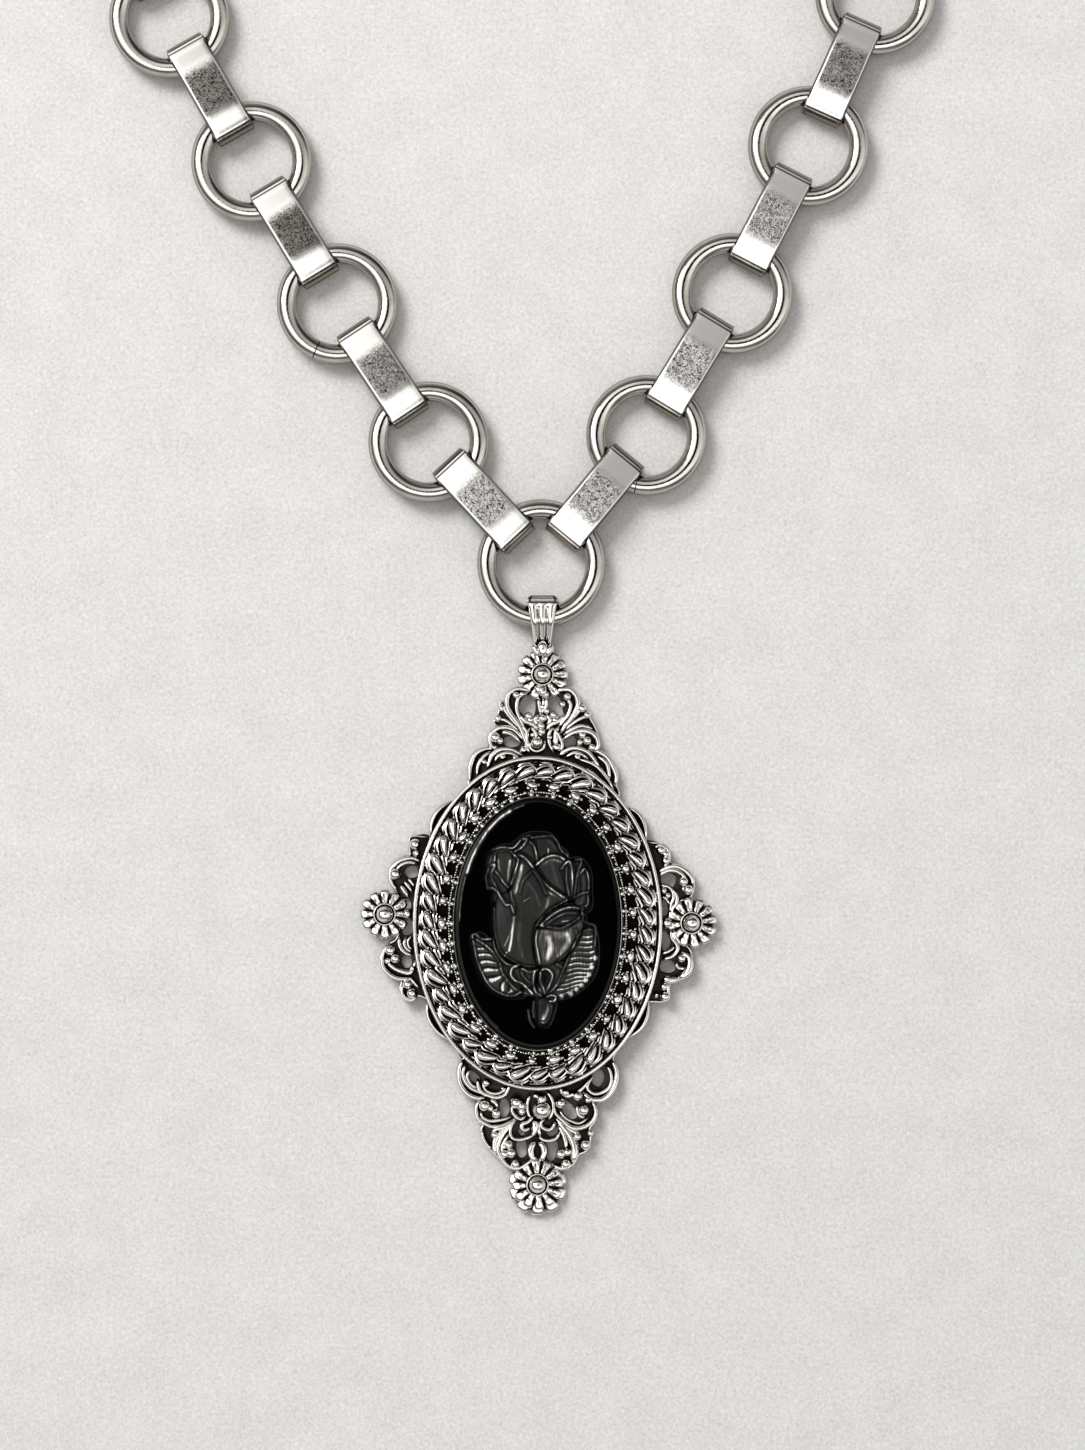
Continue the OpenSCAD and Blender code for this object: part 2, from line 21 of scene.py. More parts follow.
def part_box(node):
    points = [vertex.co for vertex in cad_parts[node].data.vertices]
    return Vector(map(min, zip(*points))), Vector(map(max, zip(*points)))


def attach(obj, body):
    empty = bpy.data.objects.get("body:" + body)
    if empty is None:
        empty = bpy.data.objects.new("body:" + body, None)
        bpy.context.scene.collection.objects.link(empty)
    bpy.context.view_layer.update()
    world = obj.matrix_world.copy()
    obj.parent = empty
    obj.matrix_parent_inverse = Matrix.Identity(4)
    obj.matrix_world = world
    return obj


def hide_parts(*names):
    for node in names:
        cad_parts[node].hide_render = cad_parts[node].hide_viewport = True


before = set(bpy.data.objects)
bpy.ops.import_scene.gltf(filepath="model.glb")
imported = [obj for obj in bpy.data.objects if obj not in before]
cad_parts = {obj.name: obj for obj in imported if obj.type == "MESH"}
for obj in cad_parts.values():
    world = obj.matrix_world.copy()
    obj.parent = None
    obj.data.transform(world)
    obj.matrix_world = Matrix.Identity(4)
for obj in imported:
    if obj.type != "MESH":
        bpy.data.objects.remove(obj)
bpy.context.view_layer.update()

LOG = logging.getLogger("necklace")
MM = 0.001
METRE_MM = 1000.0

Point = tuple[float, float]
Shape = bmesh.types.BMesh
Piece = bpy.types.Object
Span = tuple[float, float]
Triple = tuple[float, float, float]
Socket = bpy.types.NodeSocket
Feed = Socket | float


class Slot(Enum):
    """The record's material slots."""

    WIRE = "ring_wire"
    STRAP = "strap_metal"
    CAST = "cast_metal"
    GLASS = "black_glass"


# ---- shapes -------------------------------------------------------------


def new_shape() -> Shape:
    """Returns an empty shape with its wear layer and its own-place layer."""
    shape = bmesh.new()
    shape.verts.layers.float.new("age")
    shape.verts.layers.float_vector.new("place")
    return shape


def merge(into: Shape, part: Shape, placed: Matrix | None = None) -> None:
    """Adds one shape to another and frees it.

    Args:
        into: the shape that grows.
        part: the shape that is added.
        placed: where the part goes, if it moves.
    """
    if placed is not None:
        bmesh.ops.transform(part, matrix=placed, verts=part.verts)
        if placed.determinant() < 0:
            bmesh.ops.reverse_faces(part, faces=part.faces)
    store = bpy.data.meshes.new("store")
    part.to_mesh(store)
    part.free()
    into.from_mesh(store)
    bpy.data.meshes.remove(store)


def smooth_path(points: Sequence[Point], steps: int, closed: bool = False) -> list[Vector]:
    """Draws a smooth curve through points.

    Args:
        points: the places it goes through.
        steps: new points to each stretch.
        closed: whether it comes back to its start.

    Returns:
        The curve's points.
    """
    spots = [Vector(p) for p in points]
    last = len(spots) - 1
    stretches = len(spots) if closed else last
    drawn = []
    for i in range(stretches):
        if closed:
            a, b, c, d = (spots[(i + k) % len(spots)] for k in (-1, 0, 1, 2))
        else:
            b, c = spots[i], spots[i + 1]
            a = spots[i - 1] if i else 2 * b - c
            d = spots[i + 2] if i + 2 <= last else 2 * c - b
        for k in range(steps):
            t = k / steps
            drawn.append(0.5 * ((2 * b) + (c - a) * t + (2 * a - 5 * b + 4 * c - d) * t * t
                                + (3 * b - a - 3 * c + d) * t ** 3))
    if not closed:
        drawn.append(spots[-1])
    return drawn


def sweep(section: Sequence[Vector], stations: Sequence[Matrix], closed: bool) -> Shape:
    """Draws a closed section along a row of stations.

    Args:
        section: the section's corners, x across and y outwards.
        stations: the section's place at each step.
        closed: whether the last station meets the first.

    Returns:
        The shape; its place layer holds the section's x and y and the step.
    """
    shape = new_shape()
    place = shape.verts.layers.float_vector["place"]
    loop = [shape.verts.new(stations[0] @ p) for p in section]
    for vert, p in zip(loop, section):
        vert[place] = (p.x, p.y, 0)
    edges = [shape.edges.new(pair) for pair in zip(loop, loop[1:] + loop[:1])]
    first = list(edges)
    for step in range(1, len(stations)):
        made = bmesh.ops.extrude_edge_only(shape, edges=edges)["geom"]
        held = {part for part in made if isinstance(part, bmesh.types.BMVert)}
        edges = [part for part in made
                 if isinstance(part, bmesh.types.BMEdge) and held.issuperset(part.verts)]
        move = stations[step] @ stations[step - 1].inverted()
        bmesh.ops.transform(shape, matrix=move, verts=list(held))
        for vert in held:
            vert[place] = (*vert[place][:2], step)
    if closed:
        bmesh.ops.bridge_loops(shape, edges=first + edges)
    else:
        for ring in (first, edges):
            bmesh.ops.contextual_create(shape, geom=ring)
    bmesh.ops.recalc_face_normals(shape, faces=shape.faces)
    return shape


def station(at: Vector, across: Vector, out: Vector, size: Vector = Vector((1, 1, 1))) -> Matrix:
    """Places a section.

    Args:
        at: the section's centre.
        across: the direction of the section's x.
        out: the direction of the section's y.
        size: how much the section is scaled.

    Returns:
        The section's matrix.
    """
    turn = Matrix((across, out, across.cross(out))).transposed().to_4x4()
    return Matrix.Translation(at) @ turn @ Matrix.Diagonal(size).to_4x4()


def rounded_section(width: float, thick: float, corner: float, across: int = 8,
                    draft: float = 0.0) -> list[Vector]:
    """Returns a flat strip's section with rounded corners, its outer side first.

    Args:
        width: its size across.
        thick: its thickness.
        corner: the corners' radius.
        across: spaces on each long side.
        draft: how much narrower the outer side is at each edge.
    """
    y = thick / 2 - corner
    outline = []
    for sx, sy, start in ((1, 1, 0), (-1, 1, 90), (-1, -1, 180), (1, -1, 270)):
        x = width / 2 - corner - (draft if sy > 0 else 0.0)
        for k in range(4):
            turn = math.radians(start + 30 * k)
            outline.append(Vector((sx * x + corner * math.cos(turn), sy * y + corner * math.sin(turn), 0)))
        if start in (0, 180):
            run = sx * 2 * x / across
            outline += [Vector((sx * x - run * k, sy * thick / 2, 0)) for k in range(1, across)]
    return outline


def belt(circles: Sequence[Triple], arc_steps: int, line_step: float) -> list[tuple[Vector, Vector]]:
    """Draws the taut belt round circles.

    Args:
        circles: the circles in turn, anticlockwise: along, up and radius.
        arc_steps: steps on each bend.
        line_step: the longest step on a straight.

    Returns:
        Each point of the belt with its outward direction.
    """
    count = len(circles)
    normals = []
    for i in range(count):
        (x1, y1, r1), (x2, y2, r2) = circles[i], circles[(i + 1) % count]
        run = Vector((x2 - x1, y2 - y1))
        u = run.normalized()
        c = (r1 - r2) / run.length
        normals.append(u * c + Vector((u.y, -u.x)) * math.sqrt(1 - c * c))
    drawn = []
    for i in range(count):
        x, y, r = circles[i]
        before, after = normals[i - 1], normals[i]
        turn = before.angle_signed(after)
        turn = -turn if turn < 0 else 2 * math.pi - turn
        start = math.atan2(before.y, before.x)
        for k in range(arc_steps + 1):
            n = Vector((math.cos(start + turn * k / arc_steps), math.sin(start + turn * k / arc_steps)))
            drawn.append((Vector((x, y)) + n * r, n))
        x2, y2, r2 = circles[(i + 1) % count]
        leave, meet = drawn[-1][0], Vector((x2, y2)) + after * r2
        steps = max(1, math.ceil((meet - leave).length / line_step))
        drawn += [(leave.lerp(meet, k / steps), after) for k in range(1, steps)]
    return drawn


def stamp(into: Shape, pattern: bpy.types.Mesh, placed: Matrix) -> None:
    """Adds a copy of a pattern to a shape.

    Args:
        into: the shape that grows.
        pattern: the mesh that is copied.
        placed: where the copy goes.
    """
    count = len(into.verts)
    into.from_mesh(pattern)
    into.verts.ensure_lookup_table()
    bmesh.ops.transform(into, matrix=placed, verts=into.verts[count:])


def as_pattern(shape: Shape, name: str) -> bpy.types.Mesh:
    """Keeps a shape as a mesh for stamping, and frees it."""
    mesh = bpy.data.meshes.new(name)
    shape.to_mesh(mesh)
    shape.free()
    return mesh


def ball(radius: float, around: int = 14, rings: int = 9) -> Shape:
    """Returns a round bead about the origin."""
    shape = new_shape()
    bmesh.ops.create_uvsphere(shape, u_segments=around, v_segments=rings, radius=radius)
    return shape


def full_turn(count: int) -> np.ndarray:
    """Returns angles spaced evenly round a circle."""
    return np.linspace(0, 2 * math.pi, count + 1)[:-1]


def round_points(radius: float, angles: Iterable[float]) -> list[Vector]:
    """Returns the places at a radius from the origin."""
    return [Vector((radius * math.cos(t), radius * math.sin(t), 0)) for t in angles]


def headings(line: Sequence[Vector]) -> list[Vector]:
    """Returns a line's direction at each of its points."""
    last = len(line) - 1
    return [(line[min(i + 1, last)] - line[max(i - 1, 0)]).normalized() for i in range(last + 1)]


def paint(shape: Shape, level: float) -> Shape:
    """Gives the whole of a shape one age, and returns it."""
    age = shape.verts.layers.float["age"]
    for vert in shape.verts:
        vert[age] = level
    return shape


def full_spin(shape: Shape, profile: list[Any], steps: int) -> None:
    """Spins a closed profile once round z and turns the faces outward."""
    bmesh.ops.spin(shape, geom=profile, cent=(0, 0, 0), axis=(0, 0, 1), angle=2 * math.pi, steps=steps,
                   use_merge=True)
    bmesh.ops.recalc_face_normals(shape, faces=shape.faces)


def turned(profile: Sequence[Triple], steps: int) -> Shape:
    """Turns a profile round z.

    Args:
        profile: the radius, height and age of each corner.
        steps: steps in the turn.

    Returns:
        The turned shape.
    """
    shape = new_shape()
    age = shape.verts.layers.float["age"]
    verts = []
    for r, z, wear in profile:
        verts.append(shape.verts.new((r, 0, z)))
        verts[-1][age] = wear
    edges = [shape.edges.new(pair) for pair in zip(verts, verts[1:] + verts[:1])]
    full_spin(shape, verts + edges, steps)
    return shape


def torus(radius: float, wire_r: float, sides: int, steps: int, height: float) -> Shape:
    """Bends a round wire to a ring about z.

    Args:
        radius: radius of the wire's middle line.
        wire_r: the wire's own radius.
        sides: sides of the wire.
        steps: steps in the turn.
        height: height of the wire's middle line.

    Returns:
        The ring.
    """
    ring = new_shape()
    stood = Matrix.Translation((radius, 0, height)) @ Matrix.Rotation(math.pi / 2, 4, "X")
    bmesh.ops.create_circle(ring, segments=sides, radius=wire_r, matrix=stood)
    full_spin(ring, ring.verts[:] + ring.edges[:], steps)
    return ring


def pierced_plate(outline: Sequence[Point], gaps: Sequence[Sequence[Point]], low: float,
                  high: float, edge: float) -> Shape:
    """Makes a flat plate with gaps cut through it and softened edges.

    Args:
        outline: the plate's outline.
        gaps: the outline of each gap.
        low: height of its underside.
        high: height of its face.
        edge: radius of its edges.

    Returns:
        The plate.
    """
    drawing = bpy.data.curves.new("plate", "CURVE")
    drawing.dimensions = "2D"
    drawing.fill_mode = "BOTH"
    drawing.extrude = (high - low) / 2 - edge
    drawing.bevel_depth = edge
    drawing.bevel_resolution = 1
    for path, shift in [(outline, -edge)] + [(gap, edge) for gap in gaps]:
        points = smooth_path(path, 5, closed=True)
        spline = drawing.splines.new("POLY")
        spline.points.add(len(points) - 1)
        centre = sum(points, Vector((0, 0))) / len(points)
        for knot, p in zip(spline.points, points):
            inward = (p - centre).normalized() * shift
            knot.co = (p.x + inward.x, p.y + inward.y, 0, 1)
        spline.use_cyclic_u = True
    holder = bpy.data.objects.new("plate", drawing)
    bpy.context.scene.collection.objects.link(holder)
    mesh = bpy.data.meshes.new_from_object(holder.evaluated_get(bpy.context.evaluated_depsgraph_get()))
    shape = new_shape()
    shape.from_mesh(mesh)
    bmesh.ops.remove_doubles(shape, verts=shape.verts, dist=0.001)
    bmesh.ops.recalc_face_normals(shape, faces=shape.faces)
    bpy.data.objects.remove(holder)
    bpy.data.curves.remove(drawing)
    bpy.data.meshes.remove(mesh)
    lift = (low + high) / 2 - sum(v.co.z for v in shape.verts) / len(shape.verts)
    bmesh.ops.translate(shape, vec=(0, 0, lift), verts=shape.verts)
    return shape


def finish_piece(name: str, shape: Shape, origin: Vector, material: bpy.types.Material,
                 nodes: Sequence[str] = (), crease: float = 40) -> Piece:
    """Makes a shape a piece of the necklace.

    Args:
        name: the piece's name.
        shape: its shape in millimetres, which is freed.
        origin: the shape's origin in metres.
        material: its finish.
        nodes: the solids that it stands for.
        crease: edges sharper than this, in degrees, stay sharp.

    Returns:
        The piece.
    """
    bmesh.ops.transform(shape, matrix=Matrix.Translation(origin) @ Matrix.Scale(MM, 4), verts=shape.verts)
    mesh = as_pattern(shape, name)
    mesh.shade_smooth()
    mesh.set_sharp_from_angle(angle=math.radians(crease))
    mesh.materials.append(material)
    piece = bpy.data.objects.new(name, mesh)
    bpy.context.scene.collection.objects.link(piece)
    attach(piece, "root")
    if nodes:
        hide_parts(*nodes)
    LOG.info("%s: %d faces", name, len(mesh.polygons))
    return piece


def centre_of(node: str) -> Vector:
    """Returns the middle of a solid's box, on the surface the necklace lies on."""
    low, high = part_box(node)
    return Vector(((low[0] + high[0]) / 2, (low[1] + high[1]) / 2, 0))


# ---- finishes -----------------------------------------------------------


def linear(code: str) -> tuple[float, float, float, float]:
    """Turns an sRGB hex colour to linear light."""
    parts = [int(code[k:k + 2], 16) / 255 for k in (1, 3, 5)]
    return (*(c / 12.92 if c <= 0.04045 else ((c + 0.055) / 1.055) ** 2.4 for c in parts), 1.0)


def add_node(tree: bpy.types.NodeTree, kind: str, values: Mapping[Any, Any]) -> bpy.types.Node:
    """Adds one shader node with its settings and links.

    Args:
        tree: the node tree.
        kind: the node's type name, after "ShaderNode".
        values: what its properties and inputs, by name or number, are set to or
            fed by; "stops" fills a ramp.

    Returns:
        The new node.
    """
    made = tree.nodes.new("ShaderNode" + kind)
    for key, value in values.items():
        if key == "stops":
            ends = made.color_ramp.elements
            ends[0].position, ends[0].color = value[0]
            ends[1].position, ends[1].color = value[-1]
            for place, shade in value[1:-1]:
                ends.new(place).color = shade
        elif isinstance(value, Socket):
            tree.links.new(value, made.inputs[key])
        elif isinstance(key, int) or key in made.inputs:
            made.inputs[key].default_value = value
        else:
            setattr(made, key, value)
    return made


class Nodes:
    """A node tree under construction: each method adds a node and returns its output."""

    def __init__(self, owner: bpy.types.Material | bpy.types.World) -> None:
        """Empties the owner's node tree."""
        owner.use_nodes = True
        self.tree = owner.node_tree
        self.tree.nodes.clear()

    def add(self, kind: str, values: Mapping[Any, Any] | None = None, output: int | str = 0) -> Socket:
        """Adds any node and returns one of its outputs."""
        return add_node(self.tree, kind, values or {}).outputs[output]

    def place(self) -> Socket:
        """Returns the place in the object's own frame."""
        return self.add("TexCoord", output="Object")

    def read(self, name: str, output: str = "Fac") -> Socket:
        """Returns an attribute."""
        return self.add("Attribute", {"attribute_name": name}, output)

    def upward(self) -> Socket:
        """Returns how far the surface looks up."""
        return self.add("SeparateXYZ", {0: self.add("NewGeometry", output="Normal")}, 2)

    def noise(self, place: Socket, size_mm: float, detail: float = 3.0, rough: float = 0.5,
              twist: float = 0.0) -> Socket:
        """Returns noise whose features have a real size."""
        return self.add("TexNoise", {"Scale": 1 / (size_mm * MM), "Detail": detail, "Roughness": rough,
                                     "Distortion": twist, "Vector": place}, "Fac")

    def stretched(self, place: Socket, scale: Triple, turn: float = 0.0) -> Socket:
        """Returns noise on places that are scaled and turned first."""
        return self.noise(self.add("Mapping", {"Vector": place, "Scale": scale, "Rotation": (0, 0, turn)}), METRE_MM)

    def maths(self, operation: str, *values: Feed, clamp: bool = False) -> Socket:
        """Returns a sum of numbers."""
        return self.add("Math", {"operation": operation, "use_clamp": clamp, **dict(enumerate(values))})

    def vector(self, operation: str, *values: Socket | Triple, output: str = "Vector") -> Socket:
        """Returns a sum of vectors."""
        return self.add("VectorMath", {"operation": operation, **dict(enumerate(values))}, output)

    def remap(self, value: Socket, low: float, high: float, to_low: Feed = 0.0, to_high: Feed = 1.0,
              smooth: bool = False) -> Socket:
        """Returns a number moved from one range to another and held inside it."""
        return self.add("MapRange", {"interpolation_type": "SMOOTHSTEP" if smooth else "LINEAR", "Value": value,
                                     "From Min": low, "From Max": high, "To Min": to_low, "To Max": to_high})

    def mix(self, share: Socket, first: Socket | str, second: Socket | str) -> Socket:
        """Returns a blend of two colours."""
        first, second = (linear(shade) if isinstance(shade, str) else shade for shade in (first, second))
        return self.add("Mix", {"data_type": "RGBA", 0: share, 6: first, 7: second}, 2)

    def ramp(self, value: Socket, *stops: tuple[float, str]) -> Socket:
        """Returns a ramp's colour."""
        return self.add("ValToRGB", {"stops": [(at, linear(code)) for at, code in stops], 0: value})

    def bump(self, height: Socket, strength: float, depth_mm: float) -> Socket:
        """Returns the normals of a bumped surface."""
        return self.add("Bump", {"Strength": strength, "Distance": depth_mm * MM, "Height": height})


@dataclass(frozen=True)
class Finish:
    """What all finishes share: a name, and one surface shader."""

    name: str = ""

    def surface(self, nodes: Nodes) -> dict[str, Any]:
        """Returns what each of the shader's inputs is set to or fed by."""
        raise NotImplementedError

    def make(self) -> bpy.types.Material:
        """Returns the material."""
        material = bpy.data.materials.new(self.name)
        nodes = Nodes(material)
        add_node(nodes.tree, "OutputMaterial", {"Surface": nodes.add("BsdfPrincipled", self.surface(nodes))})
        return material


@dataclass(frozen=True)
class PolishedWire(Finish):
    """Nickel-plated brass wire, drawn, bent and tumbled bright.

    To the eye it is a mirror a little softened by handling, with faint pits, its low sides painted darker as shade.
    """

    name: str = "nickel_plated_brass_wire_polished"
    colour: str = "#CFCBC4"
    tarnish: str = "#B4ACA1"
    # painted shade on the wire's low sides
    low_side_shade: str = "#8F877D"
    rough: Span = (0.04, 0.11)
    haze_mm: float = 2.6
    pit_mm: float = 0.22
    pit_bump: Span = (0.3, 0.025)
    tarnished: Span = (0.52, 0.78)
    # how far up a side must face to lose the painted shade
    shade_facing: Span = (0.35, 0.72)

    def surface(self, nodes: Nodes) -> dict[str, Any]:
        """Returns what feeds the shader: tarnish in the haze, painted shade on the low sides, fine pits."""
        place = nodes.place()
        haze, pits = nodes.noise(place, self.haze_mm, 4.0), nodes.noise(place, self.pit_mm)
        top = nodes.mix(nodes.remap(haze, *self.tarnished), self.colour, self.tarnish)
        return {"Metallic": 1.0,
                # painted shade on the low sides
                "Base Color": nodes.mix(nodes.remap(nodes.upward(), *self.shade_facing), self.low_side_shade, top),
                "Roughness": nodes.remap(haze, 0.3, 0.75, *self.rough),
                "Normal": nodes.bump(pits, *self.pit_bump)}


@dataclass(frozen=True)
class MottledStrap(Finish):
    """Plated sheet strip, rolled, folded and lightly brushed.

    To the eye the bends and edges are worn bright, their highlight painted in as well, and the middle of the face has
    gone grey, scratched and spotted where cloth never rubs it. The fold, the long sides and the nose carry painted
    shade.
    """

    name: str = "nickel_plated_strip_brushed"
    # worn metal at the ends and edges, which also paints their highlight
    bright: str = "#DFDCD7"
    dull: str = "#98938C"
    worn: str = "#EFECE7"
    spot: str = "#1E1B18"
    # painted shade for the fold line and the long sides, and how strong it gets
    painted_shade: str = "#1D1915"
    shade_most: float = 0.85
    # painted shade on the strap's end, then a painted dark outline at its tip, and where each starts
    nose: str = "#8C8175"
    outline: str = "#3B342D"
    nose_mm: Span = (6.0, 6.52)
    dull_half_mm: float = 2.0
    fade_mm: float = 1.5
    spot_mm: float = 0.3
    spotted: Span = (0.43, 0.56)
    # where the edges' painted highlight starts, and where the long sides' painted shade starts
    edge_mm: Span = (2.02, 2.28)
    edge_fade_mm: float = 0.06
    nose_fade_mm: float = 0.12
    fold_mm: float = 5.8
    fold_line_mm: Span = (0.06, 0.15)
    rough: float = 0.18
    scuffed: Span = (0.3, 0.62)
    brush: Triple = (1.2, 9.0, 9.0)
    bump: Span = (0.16, 0.05)

    def surface(self, nodes: Nodes) -> dict[str, Any]:
        """Returns what feeds the shader: a spotted middle, ends and edges worn bright with a painted highlight, painted
        shade at the fold, the long sides and the nose.
        """
        own, wear = nodes.read("place", "Vector"), nodes.read("age")
        reach, side = (nodes.maths("ABSOLUTE", nodes.add("SeparateXYZ", {0: own}, axis)) for axis in (0, 1))
        spots = nodes.noise(nodes.place(), self.spot_mm, 5.0, 0.7, 1.6)
        edge = nodes.maths("ADD", reach, nodes.maths("MULTIPLY_ADD", spots, 2.0, -1.0))
        # the ends: worn bright, with the bends' highlight painted in
        ends = nodes.remap(edge, self.dull_half_mm, self.dull_half_mm + self.fade_mm, smooth=True)
        # a painted highlight on the edges, painted shade on the long sides
        worn_lit_arris, flank_shade = (nodes.remap(side, start, start + self.edge_fade_mm, 0.0, most)
                        for start, most in zip(self.edge_mm, (1.0, self.shade_most)))
        # worn and painted-highlight areas together, at the ends and along the edges
        worn_and_lit = nodes.maths("MAXIMUM", ends, worn_lit_arris)
        dull = nodes.mix(nodes.remap(spots, *self.spotted), self.spot, nodes.mix(wear, self.dull, self.worn))
        off_fold = nodes.maths("ABSOLUTE", nodes.maths("SUBTRACT", reach, self.fold_mm))
        # painted shade along the fold
        folded = nodes.remap(off_fold, *self.fold_line_mm, self.shade_most, 0.0)
        colour = nodes.mix(nodes.maths("MAXIMUM", folded, flank_shade), nodes.mix(worn_and_lit, dull, self.bright), self.painted_shade)
        # painted shade on the nose, then a painted dark outline at its tip
        for code, start in zip((self.nose, self.outline), self.nose_mm):
            colour = nodes.mix(nodes.remap(reach, start, start + self.nose_fade_mm), colour, code)
        relief = nodes.maths("MULTIPLY_ADD", nodes.stretched(own, self.brush), 0.35, spots)
        return {"Metallic": 1.0, "Base Color": colour,
                "Roughness": nodes.remap(worn_and_lit, 0.0, 1.0, nodes.remap(wear, 0.0, 1.0, *self.scuffed), self.rough),
                "Normal": nodes.bump(relief, *self.bump)}


@dataclass(frozen=True)
class AntiquedCast(Finish):
    """White-metal casting, silver plated, dipped in oxide and buffed back.

    To the eye the crests are bright and the walls and hollows are black.
    """

    name: str = "silver_plated_casting_antiqued"
    crest: str = "#ECE9E3"
    oxide: str = "#15120F"
    shadowed: str = "#3E3832"
    half_way: str = "#ADA69B"
    rough: Span = (0.42, 0.06)
    grain_mm: float = 0.35
    grain_bump: Span = (0.22, 0.05)
    flat: Span = (0.02, 0.4)
    crevice_mm: float = 0.55
    buffed: Span = (0.3, 0.6)

    def surface(self, nodes: Nodes) -> dict[str, Any]:
        """Returns what feeds the shader: bare where a face is open, flat and not marked as old."""
        grain = nodes.noise(nodes.place(), self.grain_mm)
        facing = nodes.maths("ADD", nodes.upward(), nodes.maths("MULTIPLY_ADD", grain, 0.5, -0.25))
        pocket = nodes.add("AmbientOcclusion", {"samples": 6, "only_local": True,
                                                "Distance": self.crevice_mm * MM}, "AO")
        reached = nodes.maths("MULTIPLY", nodes.maths("SUBTRACT", 1.0, nodes.read("age"), clamp=True),
                              nodes.remap(pocket, *self.buffed, smooth=True))
        bare = nodes.maths("MULTIPLY", nodes.remap(facing, *self.flat, smooth=True), reached)
        return {"Metallic": 1.0,
                "Base Color": nodes.ramp(bare, (0.0, self.oxide), (0.18, self.shadowed), (0.45, self.half_way),
                                         (0.7, self.crest)),
                "Roughness": nodes.remap(bare, 0.0, 1.0, *self.rough),
                "Normal": nodes.bump(grain, *self.grain_bump)}


@dataclass(frozen=True)
class BlackGlass(Finish):
    """Black pressed glass, fire polished, its relief frosted.

    To the eye the ground is a deep mirror and the flower a satin grey, lighter along its carved edges. Its tone also
    holds painted highlights and painted shade.
    """

    name: str = "black_pressed_glass"
    ground: str = "#020202"
    dusk: str = "#3A3937"
    frost: str = "#8E8C88"
    # the palest tone, which the painted highlights reach
    palest: str = "#E6E3DD"
    index: float = 1.52
    streak_mm: Span = (0.28, 2.6)
    streak_turn: float = 0.12
    cloud_mm: float = 1.6
    grit_mm: float = 0.16
    grit_bump: Span = (0.12, 0.03)
    swing: Span = (0.72, 1.3)
    polish: float = 0.04
    satin: Span = (0.26, 0.42)
    shine: float = 0.13
    sheen: Span = (0.05, 0.16)

    def surface(self, nodes: Nodes) -> dict[str, Any]:
        """Returns what feeds the shader: a mirror, and frost where the stone is carved."""
        place, carved = nodes.place(), nodes.read("carved")
        across, along = (1 / (size * MM) for size in self.streak_mm)
        mixed = nodes.maths("MULTIPLY_ADD", nodes.noise(place, self.cloud_mm), 0.9,
                            nodes.stretched(place, (across, along, along), self.streak_turn))
        level = nodes.maths("MULTIPLY", nodes.read("tone"), nodes.remap(mixed, 0.7, 1.2, *self.swing), clamp=True)
        grit = nodes.maths("MULTIPLY", nodes.noise(place, self.grit_mm, 2.0), carved)
        return {"Metallic": 0.0, "IOR": self.index,
                # the tone holds the carving's painted highlights and painted shade
                "Base Color": nodes.ramp(level, (0.0, self.ground), (0.55, self.dusk), (0.8, self.frost),
                                         (1.0, self.palest)),
                "Roughness": nodes.remap(carved, 0.0, 1.0, self.polish, nodes.remap(level, 0.3, 1.0, *self.satin)),
                "Specular IOR Level": nodes.remap(carved, 0.0, 1.0, self.shine,
                                                  nodes.remap(level, 0.0, 1.0, *self.sheen)),
                "Normal": nodes.bump(grit, *self.grit_bump)}


@dataclass(frozen=True)
class Paper(Finish):
    """Heavy uncoated paper, faintly clouded, with a fine tooth."""

    name: str = "uncoated_paper"
    light: str = "#E3E1DE"
    shade: str = "#C1BFBC"
    rough: float = 0.9
    shine: float = 0.2
    cloud_mm: float = 6.0
    tooth_mm: float = 0.4
    tooth_share: float = 5.0
    tooth_bump: Span = (0.3, 0.12)
    swing: Span = (1.75, 3.95)

    def surface(self, nodes: Nodes) -> dict[str, Any]:
        """Returns what feeds the shader: the tooth over faint clouds."""
        place = nodes.place()
        cloud, tooth = nodes.noise(place, self.cloud_mm), nodes.noise(place, self.tooth_mm, 3.0, 0.75, 0.6)
        level = nodes.remap(nodes.maths("MULTIPLY_ADD", tooth, self.tooth_share, cloud), *self.swing)
        return {"Roughness": self.rough, "Specular IOR Level": self.shine,
                "Base Color": nodes.mix(level, self.shade, self.light), "Normal": nodes.bump(tooth, *self.tooth_bump)}


# ---- places read off the ornament, from the stone's centre --------------
#
# Places are in tenths of a millimetre, x and y by turns. Sizes are in hundredths.


def places(*tenths: float) -> list[Point]:
    """Pairs up places given as x and y by turns."""
    return [(x / 10, y / 10) for x, y in zip(tenths[::2], tenths[1::2])]


def rows(sizes: int, *table: Sequence[float]) -> list[tuple]:
    """Reads rows that hold a few sizes and then places.

    Args:
        sizes: how many sizes each row starts with.
        table: the rows.

    Returns:
        Each row's sizes, with the list of its places last.
    """
    return [(*(size / 100 for size in row[:sizes]), places(*row[sizes:])) for row in table]


def beads(*numbers: int) -> list[Triple]:
    """Reads balls, each given as x, y and radius."""
    return [(x / 10, y / 10, r / 100) for x, y, r in zip(numbers[::3], numbers[1::3], numbers[2::3])]


@dataclass(frozen=True)
class Ornament:
    """One of the frame's four ornaments: its plate, the gaps in it, its scrolls and its balls.

    A scroll's sizes are its width at the start and at the end.
    """

    outline: list[Point]
    holes: list[list[Point]]
    ridges: list[tuple]
    beads: list[Triple]


